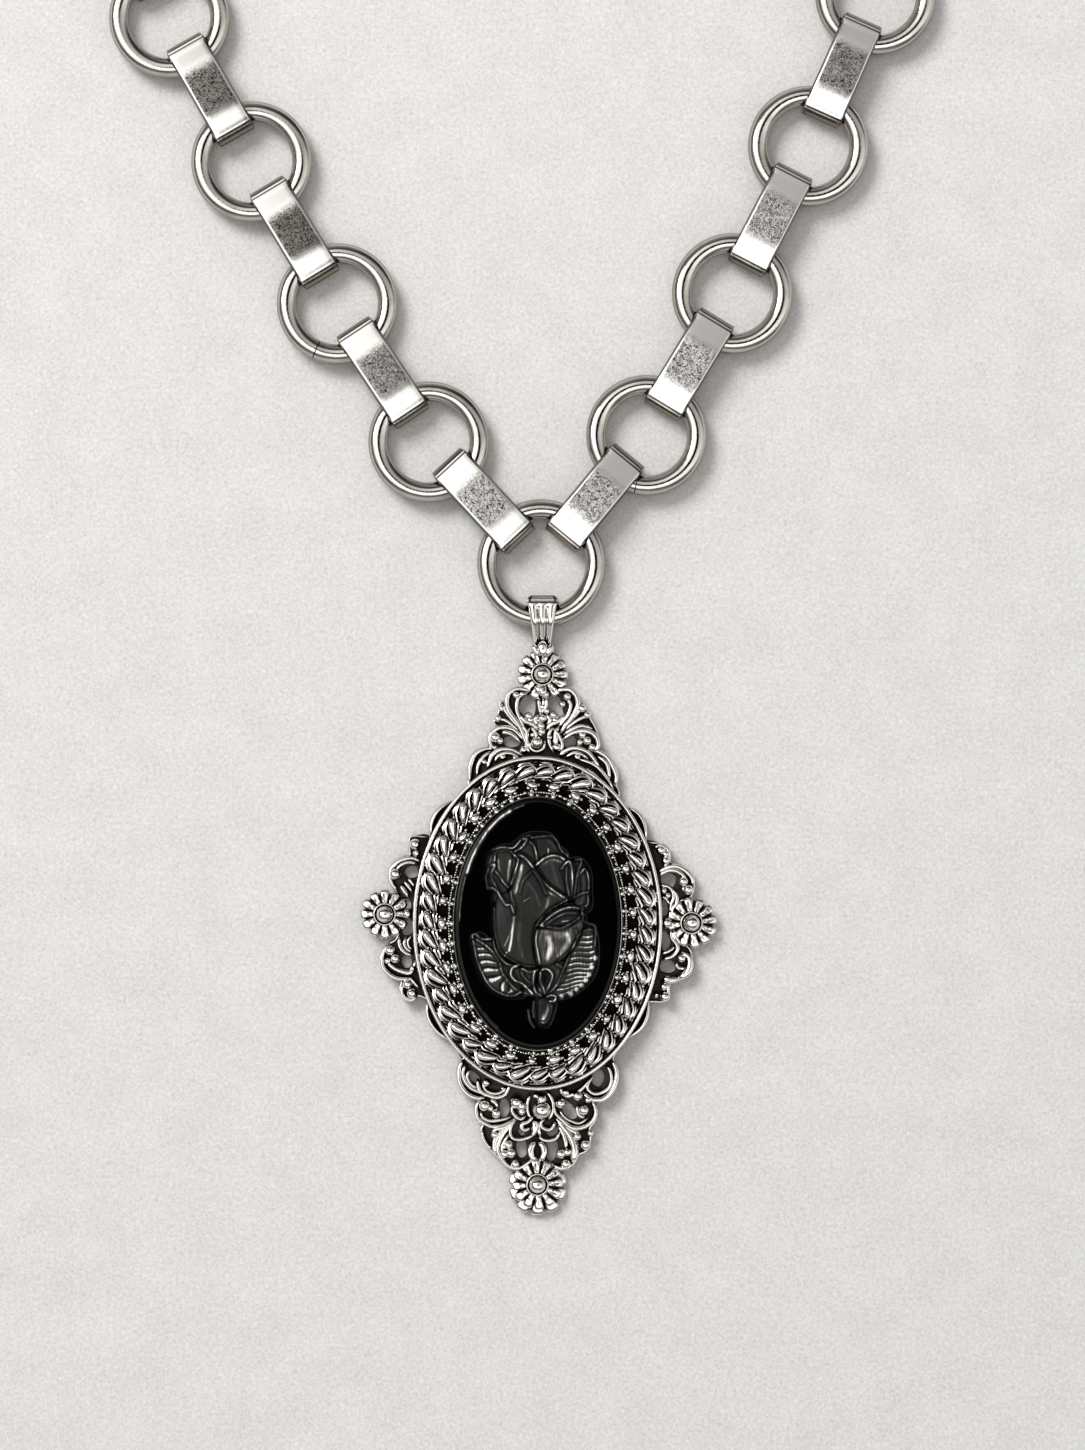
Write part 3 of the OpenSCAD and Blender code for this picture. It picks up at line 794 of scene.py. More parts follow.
TOP = Ornament(
    outline=places(-10, 281, -27, 282, -37, 273, -37, 263, -44, 267, -47, 254, -51, 248, -52, 241, -46, 235, -55, 230,
                   -58, 220, -56, 212, -66, 209, -77, 200, -81, 188, -83, 171, -69, 148, 83, 148, 95, 168, 95, 185,
                   83, 200, 73, 207, 73, 223, 70, 235, 63, 248, 56, 263, 49, 267, 48, 274, 39, 282, 22, 283),
    holes=[places(-16, 273, -8, 275, -3, 270, -3, 254, -9, 246, -17, 251, -23, 260),
           places(14, 273, 21, 276, 28, 270, 30, 259, 32, 250, 23, 247, 15, 254, 11, 264),
           places(-39, 224, -26, 226, -22, 215, -31, 212, -39, 214),
           places(34, 223, 44, 226, 46, 215, 36, 211, 31, 217)],
    ridges=rows(
        2,
        (32, 32, 46, 199, 70, 190, 84, 174, 91, 161),
        (24, 24, 60, 186, 72, 176, 79, 164),
        (39, 34, -9, 280, -21, 283, -30, 281, -36, 274, -37, 264, -33, 253, -26, 244, -20, 234, -16, 223, -11, 211),
        (34, 27, -13, 277, -22, 273, -25, 265, -25, 256, -21, 246, -17, 236, -15, 227),
        (24, 30, -22, 235, -31, 246, -39, 256, -43, 265),
        (24, 30, -21, 230, -32, 240, -40, 245, -49, 246),
        (36, 41, -16, 220, -27, 232, -38, 236, -48, 235, -55, 229, -58, 221, -55, 213, -48, 212),
        (30, 30, -21, 218, -30, 227, -38, 230, -44, 229),
        (41, 29, -61, 185, -58, 195, -55, 203, -46, 209, -36, 210, -26, 207, -17, 200),
        (27, 24, -52, 193, -48, 201, -38, 205, -28, 203, -21, 197),
        (41, 31, -81, 168, -82, 182, -80, 194, -74, 205, -64, 210, -52, 211),
        (31, 27, -73, 175, -72, 189, -66, 200, -57, 207),
        (39, 34, 22, 280, 33, 282, 40, 281, 46, 275, 49, 265, 46, 256, 40, 246, 33, 238, 28, 229),
        (34, 27, 30, 273, 37, 269, 40, 262, 37, 252, 31, 244, 25, 236),
        (27, 30, 31, 235, 42, 247, 50, 256, 54, 264),
        (27, 30, 32, 232, 44, 242, 55, 248, 62, 248),
        (29, 29, 31, 227, 42, 234, 54, 238, 66, 234),
        (31, 39, 30, 221, 42, 229, 55, 232, 66, 229, 72, 222, 73, 213, 68, 207),
        (39, 34, 26, 200, 32, 207, 42, 211, 52, 210, 61, 206, 68, 198, 75, 187),
        (27, 24, 33, 199, 43, 205, 52, 204, 61, 198),
        (36, 36, 61, 210, 73, 207, 84, 200, 91, 189, 95, 177, 93, 165),
        (31, 29, 73, 201, 83, 193, 86, 183, 87, 173),
        (27, 27, 1, 273, 2, 262, 4, 250),
        (27, 27, 7, 273, 7, 262, 5, 250),
        (31, 29, 11, 273, 11, 264, 9, 258, 14, 252),
        (29, 29, -11, 242, -4, 246, 4, 244, 13, 248, 21, 252, 26, 242),
        (27, 27, -9, 236, -14, 226, -14, 215, -9, 203),
        (27, 24, -8, 236, -2, 229, -3, 220),
        (27, 27, 19, 236, 14, 229, 14, 218, 19, 205),
        (27, 27, 19, 235, 26, 226, 30, 215, 27, 206),
        (24, 24, 20, 232, 21, 223, 19, 215),
        (27, 27, -9, 221, -8, 211, -1, 207, 7, 211, 9, 220),
        (40, 30, -23, 251, -15, 244, -6, 240, 1, 232),
        (40, 30, 34, 252, 26, 244, 17, 240, 9, 232),
        (34, 30, -19, 239, -13, 230, -13, 220, -10, 209),
        (34, 30, 27, 238, 22, 230, 23, 220, 20, 209),
        (36, 30, 2, 252, -3, 245, 1, 238),
        (36, 30, 10, 252, 15, 245, 11, 238)),
    beads=beads(-26, 275, 39, -19, 276, 31, -43, 259, 36, -48, 247, 41, -51, 224, 55, -45, 220, 39, -42, 200, 36, -27,
                199, 31, 36, 273, 43, 30, 264, 34, 54, 259, 43, 60, 251, 39, 54, 227, 43, 60, 220, 46, 51, 218, 36,
                66, 212, 41, 48, 200, 36, 2, 282, 55, 10, 276, 39, -11, 250, 41, 19, 251, 39, 11, 256, 36, 4, 238, 41,
                -1, 218, 63, 23, 212, 46, -17, 209, 43, -64, 194, 31, 4, 228, 29, 6, 247, 42, -9, 245, 34, 21, 245,
                34, 5, 231, 40, 14, 224, 30, -6, 227, 28, 6, 279, 50, 6, 261, 30))
BOTTOM = Ornament(
    outline=places(-81, -147, -91, -167, -96, -177, -97, -189, -92, -201, -84, -209, -72, -213, -74, -221, -75, -231,
                   -72, -240, -66, -244, -68, -250, -66, -261, -58, -273, -51, -280, -46, -285, -39, -293, -30, -296,
                   -19, -300, 19, -300, 38, -295, 45, -289, 50, -280, 57, -277, 62, -270, 64, -258, 63, -248, 69,
                   -240, 72, -227, 68, -218, 80, -214, 90, -207, 96, -195, 96, -180, 91, -166, 80, -147),
    holes=[places(-83, -178, -77, -180, -70, -187, -73, -195, -81, -190),
           places(73, -176, 79, -180, 81, -188, 78, -196, 73, -199, 67, -195, 65, -187, 68, -178),
           places(-44, -214, -36, -214, -34, -227, -38, -235, -44, -235, -46, -223),
           places(30, -218, 34, -214, 42, -221, 48, -230, 46, -237, 37, -237, 30, -227),
           places(11, -252, 17, -247, 25, -248, 23, -256, 16, -259, 11, -256),
           places(-25, -252, -19, -250, -14, -254, -19, -258),
           places(-25, -264, -16, -262, -13, -268, -13, -280, -20, -285, -25, -278),
           places(11, -265, 23, -264, 25, -273, 20, -287, 13, -288, 10, -278)],
    ridges=rows(
        2,
        (36, 41, -89, -165, -94, -174, -95, -187, -92, -197, -85, -206, -75, -211, -64, -212),
        (31, 31, -86, -170, -90, -180, -88, -190, -81, -199, -73, -203, -66, -206),
        (24, 24, -81, -176, -85, -185, -81, -194, -74, -200),
        (34, 31, -72, -188, -72, -197, -67, -205, -58, -209, -49, -211, -40, -208, -36, -202, -33, -195),
        (24, 24, -66, -191, -64, -200, -57, -205, -49, -206, -42, -203, -38, -197),
        (34, 31, -67, -213, -73, -220, -74, -229, -72, -236, -64, -242, -55, -246, -43, -245, -32, -240, -26, -236),
        (27, 27, -69, -227, -66, -235, -57, -239, -45, -238, -33, -235),
        (29, 29, -58, -214, -51, -217, -48, -224),
        (24, 24, -67, -249, -66, -259, -61, -268, -56, -274),
        (29, 27, -27, -237, -38, -246, -49, -249, -56, -253),
        (29, 53, -27, -237, -37, -247, -45, -254, -51, -262, -52, -271, -50, -279),
        (29, 34, -26, -238, -36, -249, -44, -260, -48, -271, -46, -280, -40, -289, -32, -295, -22, -296, -13, -291,
         -5, -285),
        (24, 24, -34, -254, -40, -264, -43, -272, -42, -283),
        (27, 27, -27, -238, -32, -247, -33, -254, -30, -260, -22, -262, -13, -260, -5, -256, -2, -250),
        (27, 27, -28, -215, -31, -226, -27, -233, -20, -237, -14, -233),
        (31, 31, -9, -206, -12, -219, -11, -230, -7, -237),
        (31, 31, 11, -203, 17, -212, 19, -221, 17, -231, 13, -238),
        (31, 31, -4, -232, -11, -240, -18, -243, -19, -248, -14, -250, -9, -247),
        (29, 29, 9, -236, 4, -242, 7, -248, 14, -250, 19, -246, 21, -240),
        (72, 31, -2, -237, -3, -246, -4, -253, -8, -259),
        (36, 31, 1, -238, 1, -249, 4, -259),
        (27, 27, 1, -258, 7, -262, 15, -263, 23, -260, 27, -252),
        (53, 53, -3, -264, -8, -272, -8, -280, -2, -289),
        (53, 53, 1, -264, 7, -271, 8, -279, 3, -289),
        (39, 39, 89, -165, 95, -177, 95, -190, 90, -203, 81, -212, 72, -214, 63, -212, 55, -205),
        (31, 29, 83, -172, 88, -180, 89, -193, 84, -201, 75, -206, 67, -206, 61, -201, 61, -195, 67, -185),
        (34, 34, 64, -188, 55, -199, 45, -206, 36, -209, 30, -205, 27, -197),
        (31, 34, 66, -215, 70, -225, 69, -235, 61, -244, 50, -248, 39, -246, 30, -238, 22, -230, 19, -220),
        (24, 24, 61, -236, 51, -242, 42, -240, 33, -235, 26, -226),
        (27, 27, 49, -220, 48, -226, 51, -233, 58, -235),
        (27, 41, 23, -236, 34, -246, 44, -252, 52, -255),
        (29, 31, 23, -237, 34, -249, 44, -261, 50, -273),
        (34, 72, 25, -241, 36, -253, 43, -265, 45, -277, 42, -289),
        (31, 41, 25, -244, 31, -255, 34, -265, 34, -273),
        (29, 31, 19, -293, 27, -296, 37, -295, 40, -289)),
    beads=beads(-62, -193, 43, -64, -221, 58, -57, -224, 36, -50, -230, 53, -52, -256, 41, -40, -279, 46, -32, -278,
                55, -35, -268, 48, -41, -270, 34, -27, -291, 48, -26, -217, 65, -20, -221, 53, -19, -228, 39, 5, -226,
                96, 5, -213, 53, -2, -209, 31, 28, -218, 55, 34, -205, 41, 48, -209, 55, 56, -226, 55, 48, -258, 43,
                64, -254, 36, 58, -268, 55, 28, -279, 53, 36, -277, 43, 34, -291, 51, -42, -200, 24, 61, -214, 36))
LEFT = Ornament(
    outline=places(-130, 103, -151, 104, -155, 97, -154, 82, -162, 80, -173, 73, -179, 63, -179, 52, -172, 40, -168,
                   28, -168, -14, -178, -25, -186, -33, -190, -44, -186, -56, -175, -66, -164, -70, -166, -80, -162,
                   -90, -152, -94, -143, -88, -122, -93, -136, -44, -142, 10, -137, 58),
    holes=[places(-160, 64, -155, 68, -146, 68, -145, 57, -154, 54, -160, 58),
           places(-163, 28, -155, 29, -153, 18, -162, 17),
           places(-163, 3, -152, 3, -152, -13, -163, -14),
           places(-163, -41, -154, -38, -152, -52, -160, -55, -164, -49)],
    ridges=rows(
        2,
        (34, 34, -138, 73, -151, 78, -161, 77, -170, 73, -177, 64, -178, 54, -175, 46, -170, 39),
        (24, 24, -144, 71, -156, 73, -166, 69, -172, 62),
        (30, 30, -166, 46, -161, 39, -155, 30),
        (28, 28, -162, 51, -156, 44, -150, 36),
        (28, 28, -157, 54, -152, 49, -147, 43),
        (60, 72, -167, 10, -158, 10, -149, 10),
        (34, 29, -166, -17, -167, -25, -164, -32, -158, -37, -150, -39),
        (24, 24, -158, -17, -161, -25, -157, -32, -151, -35),
        (27, 24, -150, -15, -156, -21, -155, -29, -150, -32),
        (31, 31, -178, -25, -185, -33, -188, -44, -186, -54, -179, -62, -169, -67, -157, -68, -149, -67),
        (31, 48, -183, -41, -180, -49, -173, -55, -163, -59, -154, -60, -149, -53, -146, -44),
        (27, 27, -154, -67, -148, -73, -143, -79),
        (29, 29, -162, -73, -164, -82, -161, -90, -152, -93, -145, -88)),
    beads=beads(-148, 95, 58, -146, 84, 39, -172, 59, 60, -157, 11, 53, -178, -33, 55, -172, -43, 51, -181, -46, 36,
                -157, -74, 53, -152, -85, 55, -151, -55, 36))
RIGHT = Ornament(
    outline=places(131, 97, 150, 95, 158, 89, 160, 73, 172, 70, 184, 60, 189, 47, 184, 30, 169, 22, 169, -18, 184,
                   -32, 186, -52, 181, -64, 167, -71, 160, -73, 158, -88, 152, -95, 138, -95, 123, -93, 138, -38, 143,
                   10, 138, 58),
    holes=[places(150, 57, 157, 60, 166, 57, 168, 51, 162, 42, 151, 46),
           places(151, 28, 156, 27, 158, 18, 157, 9, 151, 9),
           places(151, -11, 157, -12, 161, -24, 157, -33, 151, -33),
           places(150, -47, 162, -46, 167, -56, 160, -61, 149, -58)],
    ridges=rows(
        2,
        (27, 27, 139, 89, 149, 94, 157, 89, 159, 80, 157, 71, 151, 67),
        (36, 36, 143, 60, 157, 67, 169, 68, 180, 62, 187, 53, 187, 45),
        (36, 31, 144, 56, 157, 63, 167, 63, 175, 58, 180, 51),
        (27, 27, 145, 45, 157, 44, 163, 38, 164, 30, 161, 22, 160, 11),
        (29, 27, 162, 41, 168, 33, 168, 24, 163, 17, 162, 7),
        (24, 24, 148, 32, 155, 29, 160, 21),
        (31, 29, 161, -7, 162, -18, 168, -26, 169, -33, 162, -41, 150, -44),
        (24, 24, 164, -8, 168, -18, 173, -27),
        (27, 24, 148, -37, 157, -35, 166, -29),
        (36, 72, 174, -36, 183, -42, 184, -52, 180, -61, 170, -67),
        (36, 60, 148, -70, 160, -70, 172, -67),
        (27, 27, 167, -47, 170, -54, 179, -55),
        (27, 27, 158, -71, 158, -82, 157, -91, 149, -94),
        (41, 36, 144, -83, 143, -91)),
    beads=beads(149, 88, 51, 155, 83, 39, 155, 75, 48, 176, 50, 53, 182, 40, 53, 177, 41, 31, 152, 39, 36, 157, 33,
                31, 156, 0, 60, 174, -43, 43, 156, -68, 43, 153, -77, 46, 154, -89, 55))

# the narrow links between the ornaments: width
LINKS = rows(
    1,
    (34, -103, 147, -119, 136, -127, 122, -129, 104),
    (34, 108, 140, 122, 131, 129, 118, 131, 99),
    (34, -133, -93, -132, -113, -123, -129, -108, -141),
    (34, 134, -92, 132, -113, 124, -128, 109, -139))

# the leaflets over the eye: centre, half-length, half-width and turn in degrees
LEAFLETS = ((0.6, 33.1, 2.45, 0.95, 0.62, 90), (-0.2, 32.9, 2.1, 0.85, 0.42, 115), (1.4, 32.9, 2.1, 0.85, 0.42, 65))

# the wreath's drop and its strands: width, lift, where it is widest, and places
LOBE_STRANDS = (
    (0.86, 0.72, 0.3, ((1.0, 0.42), (0.5, 0.34), (-0.1, 0.02), (-0.7, -0.4), (-1.15, -0.78))),
    (0.36, 0.62, 0.5, ((-1.45, -0.3), (-0.9, 0.32), (-0.3, 0.8), (0.45, 0.92), (1.05, 0.6), (1.35, 0.0))),
    (0.33, 0.5, 0.5, ((-1.2, -1.1), (-0.6, -0.92), (0.1, -0.6), (0.8, -0.42), (1.3, -0.6))),
    (0.3, 0.5, 0.5, ((-1.0, 0.72), (-0.55, 1.02), (0.1, 1.18), (0.7, 1.02), (1.2, 1.1))),
    (0.26, 0.45, 0.5, ((-0.2, -0.42), (0.3, -0.16), (0.85, -0.12), (1.3, 0.1))),
    (0.26, 0.4, 0.5, ((-0.35, -0.95), (0.25, -0.98), (0.75, -0.84), (1.0, -1.05))))
# the lumps between the drops: place and radius
LOBE_LUMPS = ((1.35, 0.5, 0.18), (-0.45, 0.55, 0.16), (1.0, -0.9, 0.15), (-0.3, 1.32, 0.14), (0.55, 1.3, 0.14))
# the lumps round each bead of the gallery: radius and place
GALLERY_LUMPS = ((0.28, 0.46, -0.2, 2.85), (0.26, -0.4, -0.24, 2.9), (0.27, 0.06, -0.55, 3.0),
                 (0.3, 0.1, -1.02, 3.75), (0.2, -0.66, -0.96, 3.7), (0.2, 0.82, -0.98, 3.7),
                 (0.22, 0.7, 0.42, 2.7), (0.2, -0.7, 0.34, 2.7))

# the carved forms, low ones first: base, crown, crown width, tone, tilt along x and along y
FORMS = rows(
    6,
    (30, 18, 80, 30, 0, 0, -31, 89, -23, 99, -11, 106, 4, 107, 16, 104, 23, 92, 34, 82, 27, 62, 3, 67, -19, 76),
    (46, 12, 50, 42, 0, 0, -13, 104, -4, 99, -2, 88, -1, 73, -13, 79, -22, 87),
    (52, 30, 120, 36, 2, 3, -1, 69, 7, 79, 19, 83, 31, 80, 40, 69, 44, 42, 37, 28, 17, 41, 5, 56),
    (42, 22, 80, 33, 2, 0, 43, 74, 52, 75, 61, 62, 62, 40, 62, 20, 51, 16, 42, 32, 40, 54),
    (60, 16, 50, 40, 0, 0, 30, 65, 37, 74, 43, 74, 46, 57, 45, 40, 42, 30, 36, 29, 34, 47),
    (55, 25, 80, 42, 0, 2, -61, 62, -58, 79, -50, 88, -38, 92, -28, 89, -22, 79, -25, 67, -32, 50, -36, 35, -46, 47,
     -56, 54),
    (42, 15, 60, 33, 0, 0, -61, 62, -55, 64, -45, 52, -36, 38, -28, 15, -42, 22, -52, 26, -51, 40, -58, 47),
    (62, 48, 200, 36, 2, -1, -28, 85, -16, 83, -5, 74, 5, 57, 16, 45, 27, 38, 37, 29, 22, 22, 9, 11, -2, -2, -5, -20,
     -4, -36, 1, -50, -16, -52, -33, -44, -44, -35, -51, -18, -52, 4, -50, 23, -45, 34, -34, 38, -28, 58),
    (50, 40, 140, 76, 2, 0, -2, -6, 9, -3, 27, -5, 44, 0, 54, 9, 55, -2, 49, -18, 42, -30, 28, -44, 11, -53, 1, -52,
     -4, -32, -4, -18),
    (86, 10, 50, 30, 0, 0, -1, -3, 7, 7, 17, 16, 32, 21, 45, 20, 51, 12, 43, 3, 28, -2, 13, -3),
    (34, 10, 50, 40, 0, 0, -34, -47, -21, -52, -5, -53, -1, -62, -5, -74, -16, -78, -25, -73, -30, -61),
    (36, 14, 50, 40, 0, 0, 4, -54, 17, -50, 30, -44, 34, -52, 27, -64, 19, -78, 13, -85, 4, -85, 1, -71),
    (26, 12, 90, 34, -3, 0, -78, -25, -77, -17, -69, -14, -60, -21, -52, -23, -43, -35, -36, -47, -28, -61, -22, -76,
     -17, -85, -36, -87, -55, -79, -64, -68, -72, -50),
    (26, 12, 90, 36, 3, 0, 61, -3, 68, -11, 70.5, -27, 70, -47, 65, -63, 53, -76, 37, -86, 19, -88, 14, -80, 22, -68,
     31, -52, 40, -35, 48, -20),
    (22, 10, 40, 30, 0, 0, 1, -93, 9, -89, 19, -96, 17, -108, 11, -121, 2, -118, 1, -105))
LEFT_LEAF, RIGHT_LEAF = 12, 13

# the carved lines, with a painted highlight along each and painted shade just beside it; the first two are a painted
# reflection on the stone's shoulder: half-width, height and tone
LINES = rows(
    3,
    # the first two rows are a painted reflection along the stone's upper-left shoulder
    (7, 0, 80, -16.3, 142.8, -33, 135.5, -47, 125.6, -62.9, 107.8, -77, 83.2, -87.2, 54.3, -92.6, 25.2, -94, 3),
    (20, 0, 100, -33, 135.5, -47, 125.6, -62.9, 107.8, -77, 83.2, -85, 61.6),
    (10, 14, 100, -23, 83, -16, 80, -7, 70, 0, 60, 11, 47, 24, 37, 37, 29),
    (11, 12, 95, 35, 28, 17, 18, 6, 8, -1, -1, -4, -12, -4, -23, -1, -38, 1, -49),
    (10, 10, 90, 0, -8, -2, -19, 0, -32, 3, -48),
    (10, 14, 100, -51, 81, -50, 87, -35, 89, -28, 83, -23, 76, -28, 61, -34, 44),
    (9, 10, 90, -23, 78, -27, 60, -32, 45, -31, 32, -28, 23, -28, 13),
    (9, 10, 85, -51, 81, -52, 67, -46, 58, -40, 49, -34, 43),
    (9, 10, 80, -56, 70, -51, 71, -55, 62, -55, 55, -50, 45, -43, 32, -36, 25),
    (10, 10, 100, -59, 43, -54, 43, -48, 38, -44, 31, -38, 23, -32, 23, -29, 14),
    (8, 8, 60, -59, 67, -62, 56, -60, 44),
    (10, 14, 95, -53, 89, -42, 92, -30, 91, -24, 96, -18, 103, -11, 106, -6, 104),
    (9, 10, 90, -27, 87, -20, 91, -15, 97, -13, 102, -17, 102),
    (10, 12, 95, -9, 98, -4, 93, -1, 82, 0, 72),
    (8, 8, 70, -7, 103, 4, 105, 17, 105, 24, 98, 28, 89, 35, 83, 37, 79),
    (12, 14, 100, -1, 71, 7, 78, 17, 82, 26, 81, 33, 77),
    (10, 12, 95, 29, 66, 33, 72, 38, 75, 41, 68, 42, 52, 42, 32),
    (8, 10, 70, 35, 68, 35, 52, 38, 34),
    (9, 10, 85, 48, 61, 56, 66, 60, 61, 62, 49, 61, 36, 60, 23, 52, 20),
    (9, 12, 100, 56, 66, 50, 58, 49, 47, 48, 35),
    (9, 10, 75, 41, 29, 52, 36, 60, 38),
    (8, 8, 70, 46, 77, 53, 76, 48, 60, 46, 45, 44, 32),
    (12, 14, 100, 4, -2, 14, 8, 26, 16, 39, 20, 50, 18, 53, 12, 46, 4, 31, -4, 17, -4, 4, -2),
    (8, 6, 70, 11, 0, 21, 7, 34, 13, 46, 13),
    (8, 8, 60, 46, -7, 48, -19, 44, -27, 35, -37, 24, -46),
    (8, 6, 50, -52, 19, -52, -3, -49, -21, -44, -34, -33, -43, -18, -50, 0, -52),
    (8, 5, 55, -6, 64, -17, 52, -21, 38),
    (8, 5, 50, -5, 64, 5, 49, 10, 36),
    (10, 10, 95, -78, -19, -78, -14, -73, -13, -68, -18, -53, -19),
    (9, 10, 95, -73, -19, -62, -26, -52, -36, -45, -48),
    (8, 8, 80, -53, -21, -50, -32, -42, -44, -32, -50, -21, -49),
    (9, 8, 80, -45, -48, -42, -59, -32, -73, -21, -82, -11, -84, -2, -85),
    (9, 8, 80, -77, -21, -73, -43, -67, -58, -58, -74, -46, -83, -31, -87, -20, -82),
    (12, 10, 95, -23, -50, -30, -53, -32, -61, -27, -68, -18, -72, -11, -79, -6, -84),
    (8, 6, 70, -19, -53, -18, -61, -11, -69, -6, -71),
    (10, 12, 95, -18, -54, -9, -58, 1, -55, -4, -59, -5, -71, -2, -82, 5, -87),
    (12, 14, 100, 2, -61, 6, -55, 13, -55, 18, -62, 15, -72, 11, -81, 14, -85),
    (9, 8, 80, 4, -59, 3, -68, 7, -77, 9, -84),
    (9, 8, 70, 23, -48, 30, -53, 32, -62, 28, -69, 19, -79),
    (8, 8, 70, 46, -21, 52, -11, 61, -7, 68, -8),
    (8, 6, 60, 54, 19, 56, 3, 68, -2, 70, -8, 69, -27),
    (8, 8, 70, 46, -21, 38, -38, 33, -51, 24, -71, 14, -84),
    (11, 12, 100, 11, -88, 17, -86, 22, -88, 20, -93, 15, -93),
    (8, 6, 60, -4, -94, -5, -104, -4, -112),
    (7, 5, 55, -11, -104, -9, -116, -4, -124),
    (8, 5, 50, 17, -99, 17, -106, 11, -118, 2, -119))

# the painted highlights on the carving: half-width and tone
PAINTED_HIGHLIGHTS = rows(
    2,
    (20, 95, -28, 12, -30, -8, -32, -23, -34, -32),
    (12, 70, -28, 1, -33, -12, -40, -27),
    (33, 85, -19, 70, -21, 58, -24, 47, -26, 38),
    (30, 80, 13, 38, 24, 34, 34, 29),
    (30, 62, 14, 32, 11, 21, 2, 8),
    (10, 80, -17, 27, -9, 32),
    (35, 50, -21, 1, -22, -21, -18, -38),
    (20, 55, -11, 49, -2, 36, 2, 23),
    (22, 85, -35, 46, -35, 62, -33, 76),
    (12, 80, -30, 58, -28, 73),
    (14, 70, -40, 52, -46, 67, -47, 78),
    (35, 68, 8, 73, 17, 78, 29, 75),
    (30, 50, 17, 76, 21, 58, 26, 45),
    (14, 60, 38, 67, 39, 45),
    (25, 50, 54, 60, 56, 41, 52, 25),
    (20, 50, 13, 100, 22, 91),
    (12, 80, 13, 90, 13, 83),
    (16, 60, -23, 89, -17, 96),
    (10, 90, 29, 3, 37, 4),
    (62, 91, 13, -17, 16, -28, 12, -41),
    (60, 84, 35, -12, 37, -21, 26, -38),
    (14, 95, -37, -34, -39, -38),
    (30, 95, 2, -79, 3, -84),
    (28, 60, 24, -56, 24, -67, 19, -76),
    (22, 60, -13, -58, -10, -65),
    (42, 92, 15, -99, 10.5, -109, 6, -117),
    (14, 70, -64, -108, -56, -118, -48, -125))
LEAF_BEADS = places(69, -41, 65, -52, 62, -61, 58, -68, 53, -74, 47, -79, 40, -84, 29, -87)


# ---- the chain ----------------------------------------------------------


@dataclass
class ChainRing:
    """One wire ring, bent round a bar and closed at a butt joint."""

    node: str
    seam_deg: float = 250.0
    wire_d: float = 2.4
    height: float = 2.05
    around: int = 144
    wire_sides: int = 24
    seam_w: float = 0.07
    seam_depth: float = 0.12

    def shape(self) -> Shape:
        """Returns the ring about its own centre."""
        low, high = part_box(self.node)
        radius = (high[0] - low[0]) / MM / 2 - self.wire_d / 2
        ring = torus(radius, self.wire_d / 2, self.wire_sides, self.around, self.height)
        self.cut_seam(ring, radius)
        return ring

    def cut_seam(self, ring: Shape, radius: float) -> None:
        """Draws the fine groove where the wire's ends meet.

        Args:
            ring: the ring.
            radius: radius of the wire's middle line.
        """
        turn = math.radians(self.seam_deg)
        spoke, along = round_points(1.0, (turn, turn + math.pi / 2))
        for shift in (-self.seam_w, 0, self.seam_w):
            near = [f for f in ring.faces if f.calc_center_median().dot(spoke) > radius * 0.6]
            parts = {e for f in near for e in f.edges} | {v for f in near for v in f.verts} | set(near)
            bmesh.ops.bisect_plane(ring, geom=list(parts), dist=1e-5, plane_co=along * shift, plane_no=along)
        centre = spoke * radius + Vector((0, 0, self.height))
        for vert in ring.verts:
            if abs(vert.co.dot(along)) < 1e-4 and vert.co.dot(spoke) > 0:
                vert.co = vert.co.lerp(centre, self.seam_depth)

    def build(self, finish: bpy.types.Material) -> Piece:
        """Returns the finished ring."""
        return finish_piece("wire_" + self.node, self.shape(), centre_of(self.node), finish, [self.node])


@dataclass
class Strap:
    """A strip folded into a flat loop round the wires of two rings."""

    node: str
    heading: float
    length: float = 13.4
    width: float = 5.0
    thick: float = 0.7
    height: float = 4.1
    bend_r: float = 0.75
    nose_r: float = 1.5
    nose: float = 0.62
    edge_r: float = 0.19
    draft: float = 0.14
    flat_half: float = 1.7
    bent_by: float = 3.7
    bow_deg: float = 12.5
    crown: float = 0.03
    wear: float = 0.0

    def shape(self) -> Shape:
        """Returns the strap about its own centre, its length along x."""
        r, nose_r = self.bend_r - self.thick / 2, self.nose_r - self.thick / 2
        x, top = self.length / 2 - self.nose - self.bend_r, self.height - self.bend_r
        tip, middle = self.length / 2 - self.nose_r, self.height / 2
        line = belt([(x, self.bend_r, r), (tip, middle, nose_r), (x, top, r),
                     (-x, top, r), (-tip, middle, nose_r), (-x, self.bend_r, r)], 6, 0.35)
        across = Vector((0, 1, 0))
        stations = [station(Vector((p.x, 0, p.y)), across, Vector((n.x, 0, n.y))) for p, n in line]
        strap = sweep(rounded_section(self.width, self.thick, self.edge_r, 8, self.draft), stations, closed=True)
        place, age = strap.verts.layers.float_vector["place"], strap.verts.layers.float["age"]
        slope, ease = math.tan(math.radians(self.bow_deg)), self.bent_by - self.flat_half
        inner_top = self.height - self.thick
        for vert in strap.verts:
            vert[place] = vert.co
            share = min(1, max(0, (vert.co.z - inner_top) / (self.thick * 0.9)))
            reach = min(max(0, abs(vert.co.x) - self.flat_half), x - self.flat_half)
            side = 2 * vert.co.y / self.width
            fall = reach ** 2 / (2 * ease) if reach < ease else reach - ease / 2
            vert.co.z -= share * (slope * fall + self.crown * side * side)
            vert[age] = self.wear
        return strap

    def build(self, finish: bpy.types.Material) -> Piece:
        """Returns the finished strap."""
        shape = self.shape()
        bmesh.ops.rotate(shape, matrix=Matrix.Rotation(self.heading, 3, "Z"), verts=shape.verts)
        return finish_piece("folded_" + self.node, shape, centre_of(self.node), finish, [self.node])


